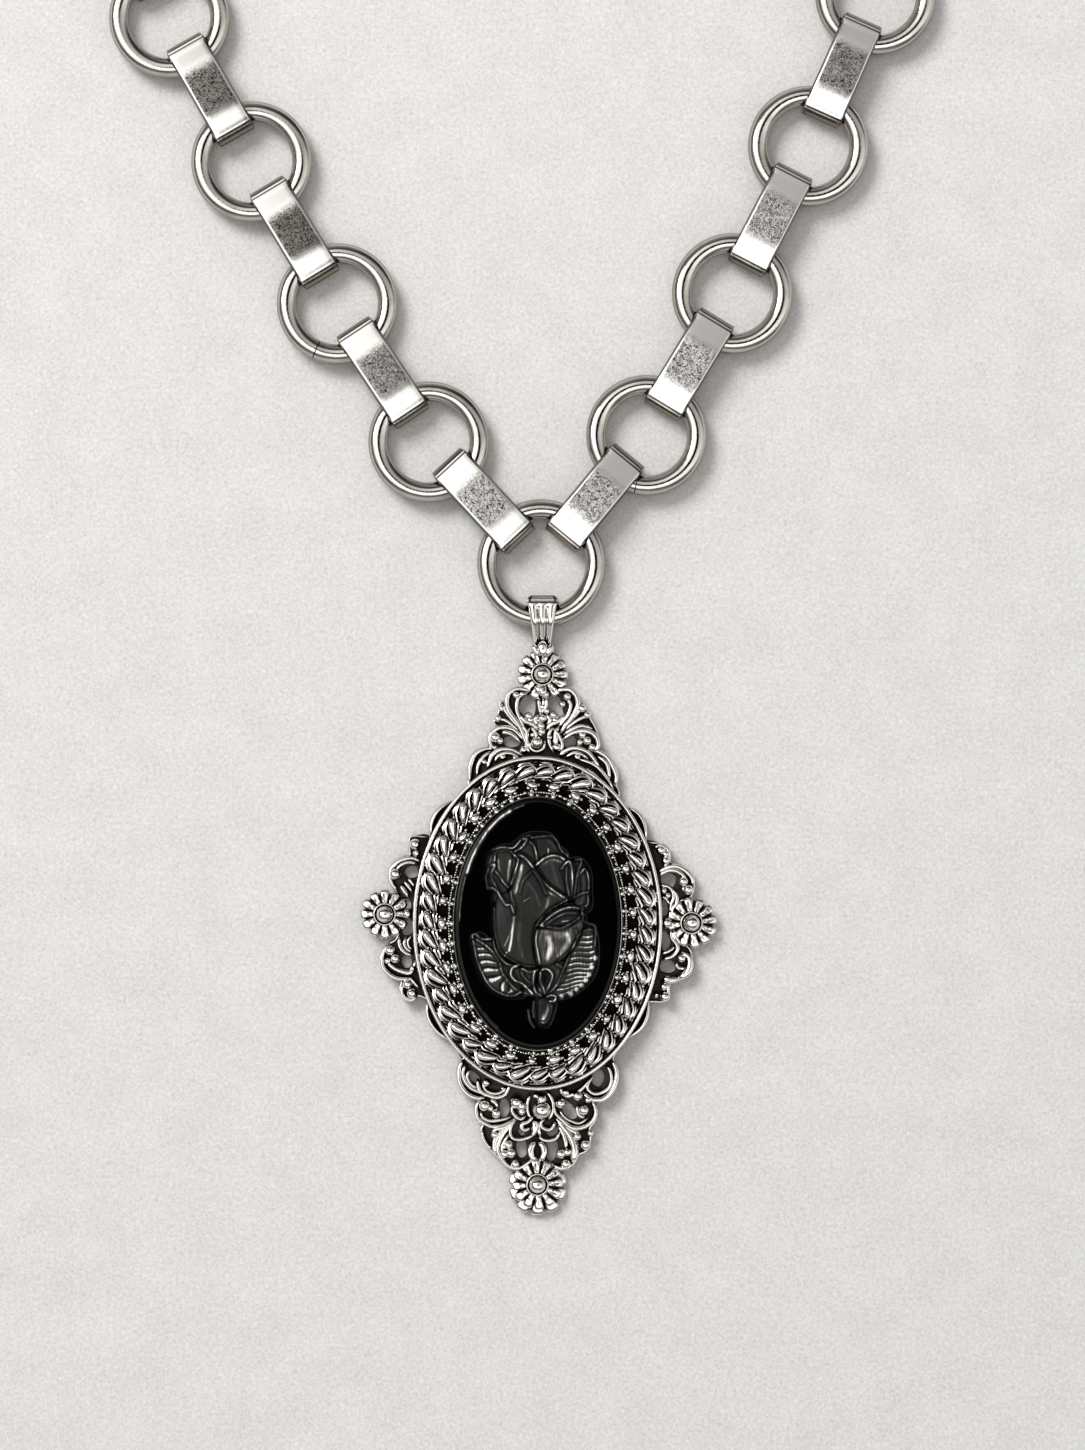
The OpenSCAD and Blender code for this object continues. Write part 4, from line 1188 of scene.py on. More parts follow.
@dataclass
class Clasp:
    """The plain bar, slotted at both ends, that closes the loop."""

    node: str = "clasp"
    rings: tuple[str, str] = ("ring_left_10", "ring_right_10")
    width: float = 5.0
    height: float = 4.1
    bend_r: float = 1.6
    slot_long: float = 3.2
    slot_r: float = 0.9
    wall: float = 0.7
    edge: float = 0.15
    skin: float = 0.13
    place_scale: Span = (0.45, 0.7)

    def rounded(self, x0: float, x1: float, inset: float, r: float) -> list[Point]:
        """Returns the outline of a rounded box.

        Args:
            x0: its left side.
            x1: its right side.
            inset: how far it lies inside the clasp's height.
            r: radius of its corners.
        """
        low, high = inset + r, self.height - inset - r
        middles = [(x1 - r, low), (x1 - r, high), (x0 + r, high), (x0 + r, low)]
        return [tuple(p) for p, _ in belt([(x, z, r) for x, z in middles], 4, 2.0)]

    def build(self, finish: bpy.types.Material) -> Piece:
        """Returns the finished clasp."""
        low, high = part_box(self.node)
        left, right = (centre_of(ring) for ring in self.rings)
        turn = math.atan2(right.y - left.y, right.x - left.x)
        half = ((high[0] - low[0]) / MM - self.width * abs(math.sin(turn))) / math.cos(turn) / 2
        slot = self.rounded(half - self.wall - self.slot_long, half - self.wall, self.wall, self.slot_r)
        outline = self.rounded(self.skin - half, half - self.skin, self.skin, self.bend_r - self.skin)
        shape = pierced_plate(outline, [slot, [(-x, z) for x, z in slot]], -self.width / 2, self.width / 2, self.edge)
        bmesh.ops.rotate(shape, matrix=Matrix.Rotation(math.pi / 2, 3, "X"), verts=shape.verts)
        place = shape.verts.layers.float_vector["place"]
        for vert in shape.verts:
            vert[place] = (vert.co.x * self.place_scale[0], vert.co.y * self.place_scale[1], vert.co.z)
        bmesh.ops.rotate(shape, matrix=Matrix.Rotation(turn, 3, "Z"), verts=shape.verts)
        return finish_piece("plain_clasp", shape, centre_of(self.node), finish, [self.node])


@dataclass
class Chain:
    """The rings and straps on both sides, the centre ring and the clasp."""

    sides: tuple[str, str] = ("left", "right")
    links: int = 10
    seams_deg: Mapping[str, float] | None = None
    wear: Mapping[str, float] | None = None

    def build(self, wire: bpy.types.Material, strip: bpy.types.Material) -> list[Piece]:
        """Makes the whole chain.

        Args:
            wire: the rings' finish.
            strip: the straps' and the clasp's finish.

        Returns:
            The pieces.
        """
        seams, wear = self.seams_deg or {}, self.wear or {}
        pieces = [ChainRing("centre_ring", seams.get("centre_ring", 122.0)).build(wire)]
        for side in self.sides:
            rings = ["centre_ring"] + [f"ring_{side}_{k}" for k in range(1, self.links + 1)]
            for k, ring in enumerate(rings[1:], 1):
                run = centre_of(ring) - centre_of(rings[k - 1])
                under_strap = math.degrees(math.atan2(run.y, run.x)) + 180
                pieces.append(ChainRing(ring, seams.get(ring, under_strap)).build(wire))
                strap = f"strap_{side}_{k}"
                pieces.append(Strap(strap, math.atan2(run.y, run.x), wear=wear.get(strap, 0.3)).build(strip))
        pieces.append(Clasp().build(strip))
        return pieces


# ---- the bail -----------------------------------------------------------


@dataclass
class Bail:
    """A strip folded over the centre ring, three flutes down its face."""

    node: str = "bail"
    x: float = 0.6
    top_y: float = 39.5
    knee_y: float = 36.2
    arch_y: float = 36.87
    arch_r: float = 1.85
    foot_y: float = 34.2
    foot_z: float = 1.15
    low: float = 0.15
    high: float = 3.9
    corner_r: float = 0.9
    foot_r: float = 1.0
    thick: float = 0.5
    top_w: float = 3.4
    foot_w: float = 2.0
    edge_r: float = 0.035
    flutes: int = 3
    flute_depth: float = 0.46
    flute_top_y: float = 38.2
    flute_end_y: float = 38.5
    flute_fade: float = 0.5
    flute_blunt: float = 0.55
    flute_age: float = 1.9
    line_y: float = 38.65
    line_w: float = 0.13
    line_depth: float = 0.12
    cap_w: float = 0.16
    cap_age: float = 0.3
    crease_at: float = 0.41
    crease_w: float = 0.035
    shoulder: float = 0.6
    shoulder_r: float = 0.35
    shoulder_cut: float = 0.42

    def width_at(self, y: float) -> float:
        """Returns the strip's width at a place on its length."""
        share = min(1.0, max(0.0, (y - self.foot_y + 1) / (self.flute_top_y - self.foot_y + 1)))
        return self.foot_w + (self.top_w - self.foot_w) * share

    def shape(self) -> Shape:
        """Returns the bail in the stone's place."""
        back, bend = self.top_y - self.corner_r, self.low + self.corner_r
        circles = [(back, bend, self.corner_r), (back, self.high - self.corner_r, self.corner_r),
                   (self.arch_y, self.high - self.arch_r, self.arch_r), (self.foot_y, self.foot_z, self.foot_r),
                   (self.knee_y, bend, self.corner_r)]
        line = belt([(y, z, r - self.thick / 2) for y, z, r in circles], 8, 0.22)
        stations = [station(Vector((self.x, p.x, p.y)), Vector((1, 0, 0)), Vector((0, n.x, n.y)),
                            Vector((self.width_at(p.x), 1, 1))) for p, n in line]
        shape = sweep(rounded_section(1.0, self.thick, self.edge_r, across=30), stations, closed=True)
        place, age = shape.verts.layers.float_vector["place"], shape.verts.layers.float["age"]
        for vert in shape.verts:
            u, n, step = vert[place]
            at, out = line[int(step)]
            outward = Vector((0, out.x, out.y))
            if n > 0 and out.y > 0.2 and at.x < self.flute_end_y:
                fade = min(1.0, (self.flute_end_y - at.x) / self.flute_fade) * min(1.0, out.y / 0.5)
                lobe = abs(math.sin(self.flutes * math.pi * (u + 0.5))) ** self.flute_blunt
                vert.co -= outward * self.flute_depth * fade * (1 - lobe)
                vert[age] = max(0.0, 1 - self.flute_age * lobe) * fade
            if n > 0 and at.x > self.flute_top_y:
                vert.co -= outward * self.line_depth * self.cap(vert, age, u, at.x, out.y)
        return shape

    def cap(self, vert: bmesh.types.BMVert, age: Any, u: float, y: float, up: float) -> float:
        """Ages and rounds the plain cap above the line that ends the flutes.

        Args:
            vert: a place on the outer side.
            age: the layer that holds its age.
            u: its share of the width, from -0.5 to 0.5.
            y: how far up the bail it is.
            up: how far it faces up.

        Returns:
            How deep in the line the place is, as a share.
        """
        line_off = (y - self.line_y) / self.line_w
        sunk = math.exp(-line_off ** 2)
        old = wider = 0.0
        if line_off > 0:
            crease = math.exp(-((abs(u) - self.crease_at) / self.crease_w) ** 2)
            old = self.cap_age + (1 - self.cap_age) * crease
            wider = self.cap_w - self.shoulder_cut * max(0.0, (y - self.top_y + self.shoulder) / self.shoulder_r) ** 2
        vert[age] = max(vert[age], old, sunk, 1.0 if 0.1 < up < 0.55 else 0.0)
        vert.co.x += wider * u / 0.5
        return sunk

    def build(self, origin: Vector, finish: bpy.types.Material) -> Piece:
        """Returns the finished bail."""
        return finish_piece("fluted_bail", self.shape(), origin, finish, [self.node])


# ---- the casting --------------------------------------------------------


@dataclass
class Daisy:
    """A flower of grooved petals round a boss."""

    x: float
    y: float
    petals: int = 13
    inner_r: float = 1.1
    outer_r: float = 3.12
    petal_w: float = 1.42
    boss_r: float = 1.02
    low: float = 1.55
    rise: float = 0.35
    boss_rise: float = 0.75
    collar_r: float = 1.27
    collar_rise: float = 0.62
    collar_wire_r: float = 0.11
    leans_deg: Span = (9.0, 5.0)
    turn_deg: float = 0.0
    groove: float = 0.3
    groove_w: float = 0.2
    groove_share: float = 0.22
    root_share: float = 0.36
    blunt: float = -0.27
    petal_h: float = 0.34

    def petal(self) -> bpy.types.Mesh:
        """Returns one petal, lying along x from the boss outwards."""
        length = self.outer_r - self.inner_r
        shape = new_shape()
        bmesh.ops.create_uvsphere(shape, u_segments=18, v_segments=14, radius=1)
        bmesh.ops.rotate(shape, matrix=Matrix.Rotation(math.pi / 2, 3, "Y"), verts=shape.verts)
        age = shape.verts.layers.float["age"]
        for vert in shape.verts:
            x, y, z = vert.co
            share = (x + 1) / 2
            broad = self.petal_w * (self.root_share + (1 - self.root_share) * share) / 2
            middle = math.exp(-(y / self.groove_w) ** 2) * math.exp(-((share - 0.5) / self.groove_share) ** 2)
            cup = self.groove * middle if z > 0 else 0.0
            vert[age] = min(1.0, cup / self.groove * 1.1 + max(0.0, abs(y) - 0.6) * 4.0)
            vert.co = (self.inner_r + share * length, y * broad * max(0.04, 1 - x * x) ** self.blunt,
                       z * self.petal_h - cup)
        return as_pattern(shape, "petal")

    def add_to(self, casting: Shape) -> None:
        """Adds the flower to the casting."""
        at = Vector((self.x, self.y, self.low))
        base = new_shape()
        bmesh.ops.create_cone(base, cap_ends=True, segments=40, radius1=self.outer_r * 0.86,
                              radius2=self.outer_r * 0.8, depth=self.low,
                              matrix=Matrix.Translation((self.x, self.y, self.low / 2)))
        merge(casting, paint(base, 1.0))
        pattern = self.petal()
        for k in range(self.petals):
            turn = Matrix.Rotation(math.radians(self.turn_deg + 360 * k / self.petals), 4, "Z")
            lean = Matrix.Rotation(math.radians(self.leans_deg[k % 2]), 4, "Y")
            stamp(casting, pattern, Matrix.Translation(at + Vector((0, 0, self.rise))) @ turn @ lean)
        merge(casting, ball(self.boss_r, 24, 16), Matrix.Translation(at + Vector((0, 0, self.boss_rise))))
        collar = at + Vector((0, 0, self.collar_rise))
        stations = [station(collar + self.collar_r * out, out, Vector((0, 0, 1)))
                    for out in round_points(1.0, full_turn(36))]
        merge(casting, sweep(round_points(self.collar_wire_r, full_turn(8)), stations, closed=True))


@dataclass
class Filigree:
    """The pierced, scrolled casting round and under the setting."""

    node: str = "filigree_frame"
    plate: float = 0.9
    plate_age: float = 0.91
    plate_edge: float = 0.12
    rim_w: float = 0.17
    rim_lift: float = -0.55
    ridge_top: float = 1.9
    ridge_usual_w: float = 0.34
    ridge_root: float = 0.25
    ridge_belly: Span = (1.04, 0.6)
    ridge_tip: float = 0.5
    ridge_tip_drop: float = 0.35
    wall: Point = (0.56, -3.2)
    lift_step: float = 0.06
    bead_scale: float = 1.16
    link_in: float = 0.92
    stretch: float = 5.1
    band: Span = (9.2, 14.9)
    band_low: float = 0.05
    eye_at: Triple = (0.6, 33.1, 1.15)
    eye_r: float = 1.1
    eye_wire_r: float = 0.3

    def ridge(self, casting: Shape, row: tuple[float, float, list[Point]], lift: float) -> None:
        """Adds one scroll, round on top with steep walls.

        Args:
            casting: the shape that grows.
            row: its width at the start and the end, and its places.
            lift: how far its top stands off the usual height.
        """
        start_w, end_w, path = row
        line = smooth_path(path, 5)
        last = len(line) - 1
        belly, swell = self.ridge_belly
        stations = []
        for i, (p, ahead) in enumerate(zip(line, headings(line))):
            share = i / last
            end = min(1.0, self.ridge_tip * (1 + min(i, last - i) / 2))
            width = (start_w + (end_w - start_w) * share) * end * (belly + swell * math.sin(math.pi * share))
            top = self.ridge_top + lift + (width - self.ridge_usual_w) / 2 - self.ridge_tip_drop * (1 - end)
            stations.append(station(Vector((p.x, p.y, top - width / 2)), Vector((ahead.y, -ahead.x, 0)),
                                    Vector((0, 0, 1)), Vector((width, width, width))))
        wall, root = self.wall
        arch = round_points(0.5, np.linspace(0, math.pi, 8)) + [Vector((-wall, root, 0)), Vector((wall, root, 0))]
        part = sweep(arch, stations, closed=False)
        for vert in part.verts:
            vert.co.z = max(vert.co.z, self.plate - self.ridge_root)
        merge(casting, part)

    def ornament(self, casting: Shape, drawn: Ornament) -> None:
        """Adds one ornament of the frame."""
        plate = pierced_plate(drawn.outline, drawn.holes, 0.0, self.plate, self.plate_edge)
        merge(casting, paint(plate, self.plate_age))
        self.ridge(casting, (self.rim_w, self.rim_w, drawn.outline + drawn.outline[:1]), self.rim_lift)
        for k, row in enumerate(drawn.ridges):
            self.ridge(casting, row, self.lift_step * (k * 7 % 5 - 2))
        for x, y, r in drawn.beads:
            merge(casting, ball(r * self.bead_scale, 16, 11), Matrix.Translation((x, y, self.plate + 0.6 + 0.6 * r)))

    def link(self, casting: Shape, width: float, path: list[Point]) -> None:
        """Adds one of the narrow links between the ornaments.

        Args:
            casting: the shape that grows.
            width: the scroll's width.
            path: the scroll's places.
        """
        inner = [(self.link_in * x, self.link_in * y) for x, y in reversed(path)]
        merge(casting, paint(pierced_plate(path + inner, [], 0.1, self.plate, 0.1), 1.0))
        self.ridge(casting, (width, width, path), -0.2)

    def build(self, origin: Vector, finish: bpy.types.Material) -> Piece:
        """Makes the casting.

        Args:
            origin: the stone's centre in metres.
            finish: the casting's finish.

        Returns:
            The casting.
        """
        casting = new_shape()
        for drawn in (TOP, BOTTOM, LEFT, RIGHT):
            self.ornament(casting, drawn)
        for width, path in LINKS:
            self.link(casting, width, path)
        for daisy in (Daisy(0.6, 30.0), Daisy(-18.45, 1.05, petals=12, outer_r=3.0),
                      Daisy(18.6, 0.0, petals=12, turn_deg=8), Daisy(0.0, -31.6, petals=12, outer_r=3.1, turn_deg=4),
                      Daisy(0.0, -31.9, petals=10, outer_r=3.55, petal_w=2.0, low=0.9, turn_deg=-90, boss_r=0.5)):
            daisy.add_to(casting)
        for x, y, z, along, wide, turn in LEAFLETS:
            merge(casting, ball(1.0, 14, 10),
                  Matrix.Translation((x, y, z)) @ Matrix.Rotation(math.radians(turn), 4, "Z")
                  @ Matrix.Diagonal((along, wide, 0.5, 1.0)))
        inner, outer = self.band
        band = turned([(inner, self.band_low, 1.0), (outer, self.band_low, 1.0), (outer, self.plate, 1.0),
                       (inner, self.plate, 1.0)], 128)
        to_oval(band, self.stretch)
        merge(casting, band)
        x, y, z = self.eye_at
        merge(casting, torus(self.eye_r, self.eye_wire_r, 10, 40, z), Matrix.Translation((x, y, 0)))
        return finish_piece("scrolled_casting", casting, origin, finish, [self.node], crease=50)


# ---- the setting --------------------------------------------------------


def to_oval(shape: Shape, stretch: float) -> None:
    """Stretches a round shape about the origin to the oval of the stone."""
    for vert in shape.verts:
        r = vert.co.xy.length
        if r > 0:
            vert.co.y += stretch * vert.co.y / r


def oval_places(count: int, r: float, stretch: float, start: float = 0.0) -> list[tuple[Vector, float]]:
    """Spaces places evenly round the oval.

    Args:
        count: how many.
        r: the oval's half-width.
        stretch: how much longer its half-length is.
        start: where the first one is, as a share of a space.

    Returns:
        Each place with the heading of the oval's line there.
    """
    turn = np.linspace(0, 2 * math.pi, 1441)
    x, y = r * np.cos(turn), (r + stretch) * np.sin(turn)
    run = np.concatenate([[0], np.cumsum(np.hypot(np.diff(x), np.diff(y)))])
    wanted = np.interp((np.arange(count) + start) / count * run[-1], run, turn)
    return [(Vector((r * math.cos(t), (r + stretch) * math.sin(t), 0)),
             math.atan2((r + stretch) * math.cos(t), -r * math.sin(t))) for t in wanted]


@dataclass
class Setting:
    """Rim wire, rope wreath, bead gallery and the stone's bezel."""

    node: str = "oval_setting"
    stretch: float = 5.1
    rim_out: float = 15.05
    rim_r: float = 0.21
    rim_top: float = 3.0
    groove_z: float = 2.1
    wreath_r: float = 13.1
    gallery_r: float = 11.35
    bezel_out: float = 10.55
    bezel_in: float = 10.0
    foot: float = 1.0
    lobes: int = 43
    beads: int = 33
    grains: int = 270
    grain_r: float = 0.16
    grain_z: float = 3.3
    seed: int = 11
    lobe_size: Span = (0.86, 1.12)
    lobe_swing: float = 0.2
    bead_wide: Span = (0.75, 1.3)
    bead_deep: Span = (0.85, 1.08)
    bead_swing: float = 0.35
    grain_size: Span = (0.75, 1.15)


    def section(self) -> list[Triple]:
        """Returns the setting's section: radius, height and age."""
        rim = (self.rim_out - self.rim_r, self.rim_top - self.rim_r)
        floor, out, inn = self.groove_z, self.bezel_out, self.bezel_in
        return [(self.rim_out, self.foot, 0.8), (self.rim_out, rim[1] - 0.25, 0.9), (self.rim_out, rim[1], 0.1),
                *((rim[0] + self.rim_r * math.cos(t), rim[1] + self.rim_r * math.sin(t), 0.0)
                  for t in np.linspace(0.35, 2.6, 7)),
                (14.6, 2.72, 0.9), (14.56, 2.6, 1.0), (14.5, 2.72, 0.4), (14.42, 2.84, 0.0), (14.32, 2.84, 0.0),
                (14.25, 2.72, 0.5), (14.2, 2.4, 1.0), (14.1, floor, 1.0), (12.3, floor, 1.0),
                (12.22, 2.45, 0.8), (12.14, 2.56, 0.3), (12.06, 2.45, 0.8), (11.98, 1.35, 1.0),
                (out + 0.12, 1.35, 1.0), (out, 3.0, 1.0), (out - 0.06, 3.4, 0.9), (out - 0.17, 3.66, 1.0),
                (inn + 0.3, 3.8, 1.0), (inn + 0.22, 3.92, 0.9), (inn + 0.12, 3.98, 0.2), (inn + 0.05, 3.93, 0.5),
                (inn, 3.8, 0.6), (inn - 0.02, 1.3, 1.0), (9.0, 1.25, 1.0), (9.0, self.foot, 1.0)]

    def lobe(self) -> bpy.types.Mesh:
        """Returns one drop of the wreath with its strands: x runs clockwise, y outwards."""
        unit = new_shape()
        oval = round_points(0.5, full_turn(10))
        for section, (width, lift, peak, path) in zip([oval] + 5 * [oval[::2]], LOBE_STRANDS):
            line = smooth_path(path, 4)
            stations = []
            for i, (p, ahead) in enumerate(zip(line, headings(line))):
                share = (i + 0.4) / (len(line) - 0.2)
                swell = math.sin(math.pi * share ** (math.log(0.5) / math.log(peak))) ** 0.6
                size = width * swell
                stations.append(station(Vector((p.x, p.y, self.groove_z + lift + 0.3 * size)),
                                        Vector((ahead.y, -ahead.x, 0)), Vector((0, 0, 1)),
                                        Vector((size, size * 1.15, size))))
            merge(unit, sweep(section, stations, closed=False))
        for x, y, r in LOBE_LUMPS:
            merge(unit, ball(r, 8, 6), Matrix.Translation((x, y, self.groove_z + 0.5)))
        return as_pattern(unit, "lobe")

    def gallery_unit(self) -> bpy.types.Mesh:
        """Returns one bead of the gallery with its bridge and lumps: x runs clockwise, y outwards."""
        unit = new_shape()
        merge(unit, ball(1.0, 14, 10), Matrix.Translation((0, 0.2, 3.05)) @ Matrix.Diagonal((0.66, 0.5, 0.5, 1)))
        for r, x, y, z in GALLERY_LUMPS:
            merge(unit, ball(r, 10, 7), Matrix.Translation((x, y, z)))
        bridge = new_shape()
        bmesh.ops.create_cube(bridge, size=1,
                              matrix=Matrix.Translation((0, 0, 1.85)) @ Matrix.Diagonal((1.0, 1.7, 1.1, 1)))
        bmesh.ops.bevel(bridge, geom=bridge.edges[:], offset=0.14, affect="EDGES", segments=2, profile=0.5,
                        material=-1)
        merge(unit, paint(bridge, 0.9))
        return as_pattern(unit, "gallery")

    def build(self, origin: Vector, finish: bpy.types.Material) -> Piece:
        """Makes the setting.

        Args:
            origin: the stone's centre in metres.
            finish: the casting's finish.

        Returns:
            The setting.
        """
        casting = turned(self.section(), 180)
        to_oval(casting, self.stretch)
        lobe, gallery = self.lobe(), self.gallery_unit()
        hand = random.Random(self.seed)

        def clockwise(at: Vector, heading: float, swing: float) -> Matrix:
            """Returns a place on the oval, turned clockwise along it and swung a little at random."""
            return Matrix.Translation(at) @ Matrix.Rotation(heading + math.pi + hand.uniform(-swing, swing), 4, "Z")

        for at, heading in oval_places(self.lobes, self.wreath_r, self.stretch, 0.35):
            size = hand.uniform(*self.lobe_size)
            stamp(casting, lobe, clockwise(at + Vector((0, 0, self.groove_z * (1 - size))), heading, self.lobe_swing)
                  @ Matrix.Diagonal((size, size, size, 1.0)))
        for at, heading in oval_places(self.beads, self.gallery_r, self.stretch, 0.5):
            mirrored = hand.choice((1.0, -1.0))
            turned_to = clockwise(at, heading, self.bead_swing)
            wide, deep = mirrored * hand.uniform(*self.bead_wide), hand.uniform(*self.bead_deep)
            stamp(casting, gallery, turned_to @ Matrix.Diagonal((wide, deep, 1.0, 1.0)))
        bmesh.ops.recalc_face_normals(casting, faces=casting.faces)
        grain = as_pattern(ball(self.grain_r, 8, 5), "grain")
        for at, _ in oval_places(self.grains, self.bezel_out + 0.12, self.stretch):
            lift = Vector((0, 0, self.grain_z + hand.uniform(-self.grain_r / 2, self.grain_r / 2)))
            stamp(casting, grain, Matrix.Translation(at + lift) @ Matrix.Scale(hand.uniform(*self.grain_size), 4))
        return finish_piece("wreathed_setting", casting, origin, finish, [self.node], crease=50)


# ---- the stone ----------------------------------------------------------


@dataclass
class CameoStone:
    """A low black dome with a rosebud, two leaves and a stem in relief."""

    node: str = "cameo_stone"
    half_w: float = 9.95
    half_l: float = 15.05
    girdle: float = 3.35
    dome: float = 0.04
    shoulder_w: float = 0.5
    shoulder_r: float = 0.9
    foot: float = 1.5
    columns: int = 236
    rows: int = 340
    edge_w: float = 0.13
    rib_height: float = 0.09
    bead_r: float = 0.36
    bead_height: float = 0.12
    highest: float = 5.9
    form_tone: float = 0.7
    crevice_off: float = 0.16
    crevice_w: float = 0.12
    crevice_depth: float = 0.14
    # how dark the painted shade in each form's crevice is
    crevice_shade: float = 0.92
    # how dark the painted shade just beside each carved line is
    line_side_shade: float = 0.85
    keyhole_at: Point = (0.95, -6.5)
    keyhole_size: Point = (0.42, 0.85)

    def reach(self, x: np.ndarray, y: np.ndarray, path: list[Vector], closed: bool) -> np.ndarray:
        """Measures the distance to a line.

        Args:
            x: the places' x.
            y: the places' y.
            path: the line's points.
            closed: whether the line is an outline; then inside counts as more than 0.

        Returns:
            The distance from each place.
        """
        best = np.full(x.shape, 1e9)
        inside = np.zeros(x.shape, bool)
        ends = path[1:] + path[:1] if closed else path[1:]
        for a, b in zip(path, ends):
            dx, dy = b.x - a.x, b.y - a.y
            t = np.clip(((x - a.x) * dx + (y - a.y) * dy) / max(dx * dx + dy * dy, 1e-12), 0, 1)
            best = np.minimum(best, np.hypot(x - a.x - t * dx, y - a.y - t * dy))
            if closed and abs(dy) > 1e-12:
                cross = ((a.y > y) != (b.y > y)) & (x < a.x + (y - a.y) * dx / dy)
                inside ^= cross
        return np.where(inside, best, -best) if closed else best

    def relief(self, x: np.ndarray, y: np.ndarray) -> tuple[np.ndarray, np.ndarray, np.ndarray]:
        """Works out the carving.

        Args:
            x: the places' x.
            y: the places' y.

        Returns:
            Height over the dome, tone and how frosted each place is.
        """
        height, tone, carved = np.zeros(x.shape), np.zeros(x.shape), np.zeros(x.shape)
        for base, crown, crown_w, shade, tilt_x, tilt_y, outline in FORMS:
            path = smooth_path(outline, 5, closed=True)
            gap = self.reach(x, y, path, True)
            centre = sum(path, Vector((0, 0))) / len(path)
            rise = np.clip(gap / crown_w, 0, 1)
            level = base + crown * (1 - (1 - rise) ** 2) + tilt_x * (x - centre.x) + tilt_y * (y - centre.y)
            step = np.clip(gap / self.edge_w + 0.5, 0, 1)
            level = level * step * step * (3 - 2 * step)
            crevice = np.exp(-((gap + self.crevice_off) / self.crevice_w) ** 2)
            height -= self.crevice_depth * crevice * (height < base + 0.2)
            # painted shade in the crevice just outside the form
            tone *= 1 - self.crevice_shade * crevice
            over = (gap > -self.edge_w / 2) & (level > height)
            tone = np.where(over, self.form_tone * shade * step, tone)
            carved = np.where(over, step, carved)
            height = np.where(over, level, height)
        return height, tone, carved

    def leaf_ribs(self, x: np.ndarray, y: np.ndarray, height: np.ndarray, tone: np.ndarray) -> None:
        """Adds the leaves' ribs to the carving: a ripple in its height, a painted highlight along each rib and painted
        shade in the grooves between.

        Args:
            x: the places' x.
            y: the places' y.
            height: the carving's height, which is changed.
            tone: its tone, which is changed.
        """
        left = ((-2.0, -3.3, -4.2, -5.2, -7.5), (-8.1, -7.1, -5.4, -3.6, -1.7))
        right = ((1.6, 2.7, 3.9, 5.1, 6.2), (-8.0, -6.1, -4.2, -2.3, -0.5))
        # crest is how strong each leaf's painted rib highlight is
        for form, midrib, leans, pitch, crest in ((LEFT_LEAF, left, (30, 4, -14), 0.73, 0.95),
                                                  (RIGHT_LEAF, right, (20, 3, 8), 0.67, 0.6)):
            path = smooth_path(FORMS[form][-1], 5, closed=True)
            gap = self.reach(x, y, path, True)
            inside = np.clip((gap - 0.2) / 0.15, 0, 1)
            if form == LEFT_LEAF:
                inside = inside * np.clip((np.interp(x, *(side[::-1] for side in midrib)) - 0.25 - y) / 0.15, 0, 1)
            stem = np.interp(y, midrib[1], midrib[0])
            lean = np.tan(np.radians(np.interp(y, (-8.0, -5.0, -2.5), leans)))
            phase = (y - lean * (x - stem) + 0.1 * np.sin(2.3 * x)) / pitch % 1
            groove = np.exp(-((np.abs(phase - 0.5) - 0.5) / 0.11) ** 2)
            line = np.exp(-((phase - 0.68) / 0.15) ** 2)
            height += inside * self.rib_height * (0.5 * np.cos(2 * math.pi * (phase - 0.6)))
            rib_highlight = np.clip(0.7 + 0.2 * np.sin(1.7 * x + 1.1 * y) + 0.1 * (abs(x - stem) - 1), 0.4, 1.0)
            # a painted highlight along each rib, painted shade in each groove
            tone += inside * (0.22 + crest * rib_highlight * line - 0.6 * groove)

    def shape(self) -> tuple[Shape, np.ndarray, np.ndarray]:
        """Returns the stone with its tone and frosting."""
        stone = new_shape()
        bmesh.ops.create_grid(stone, x_segments=self.columns, y_segments=self.rows, size=1)
        stone.verts.ensure_lookup_table()
        spots = np.array([v.co.xy for v in stone.verts])
        u = spots[:, 0] * np.sqrt(1 - spots[:, 1] ** 2 / 2)
        v = spots[:, 1] * np.sqrt(1 - spots[:, 0] ** 2 / 2)
        x, y = u * self.half_w, v * self.half_l
        height, tone, carved = self.relief(x, y)
        drift = 0.88 + 0.12 * np.sin(1.9 * x + 2.7 * y) * np.cos(2.3 * x - 1.1 * y)
        # painted highlights, fuller where the stone is carved
        for width, shade, path in PAINTED_HIGHLIGHTS:
            near = np.exp(-(self.reach(x, y, smooth_path(path, 4), False) / width) ** 2)
            tone = np.maximum(tone, shade * near * (0.35 + 0.65 * carved))
            carved = np.maximum(carved, 0.8 * near)
        self.leaf_ribs(x, y, height, tone)
        for width, rise, shade, path in LINES:
            gap = self.reach(x, y, smooth_path(path, 5), False)
            near = np.exp(-(gap / (0.95 * width)) ** 2)
            # painted shade just beside each line
            tone *= 1 - self.line_side_shade * np.exp(-((gap - width - self.crevice_off) / self.crevice_w) ** 2)
            height += rise * near
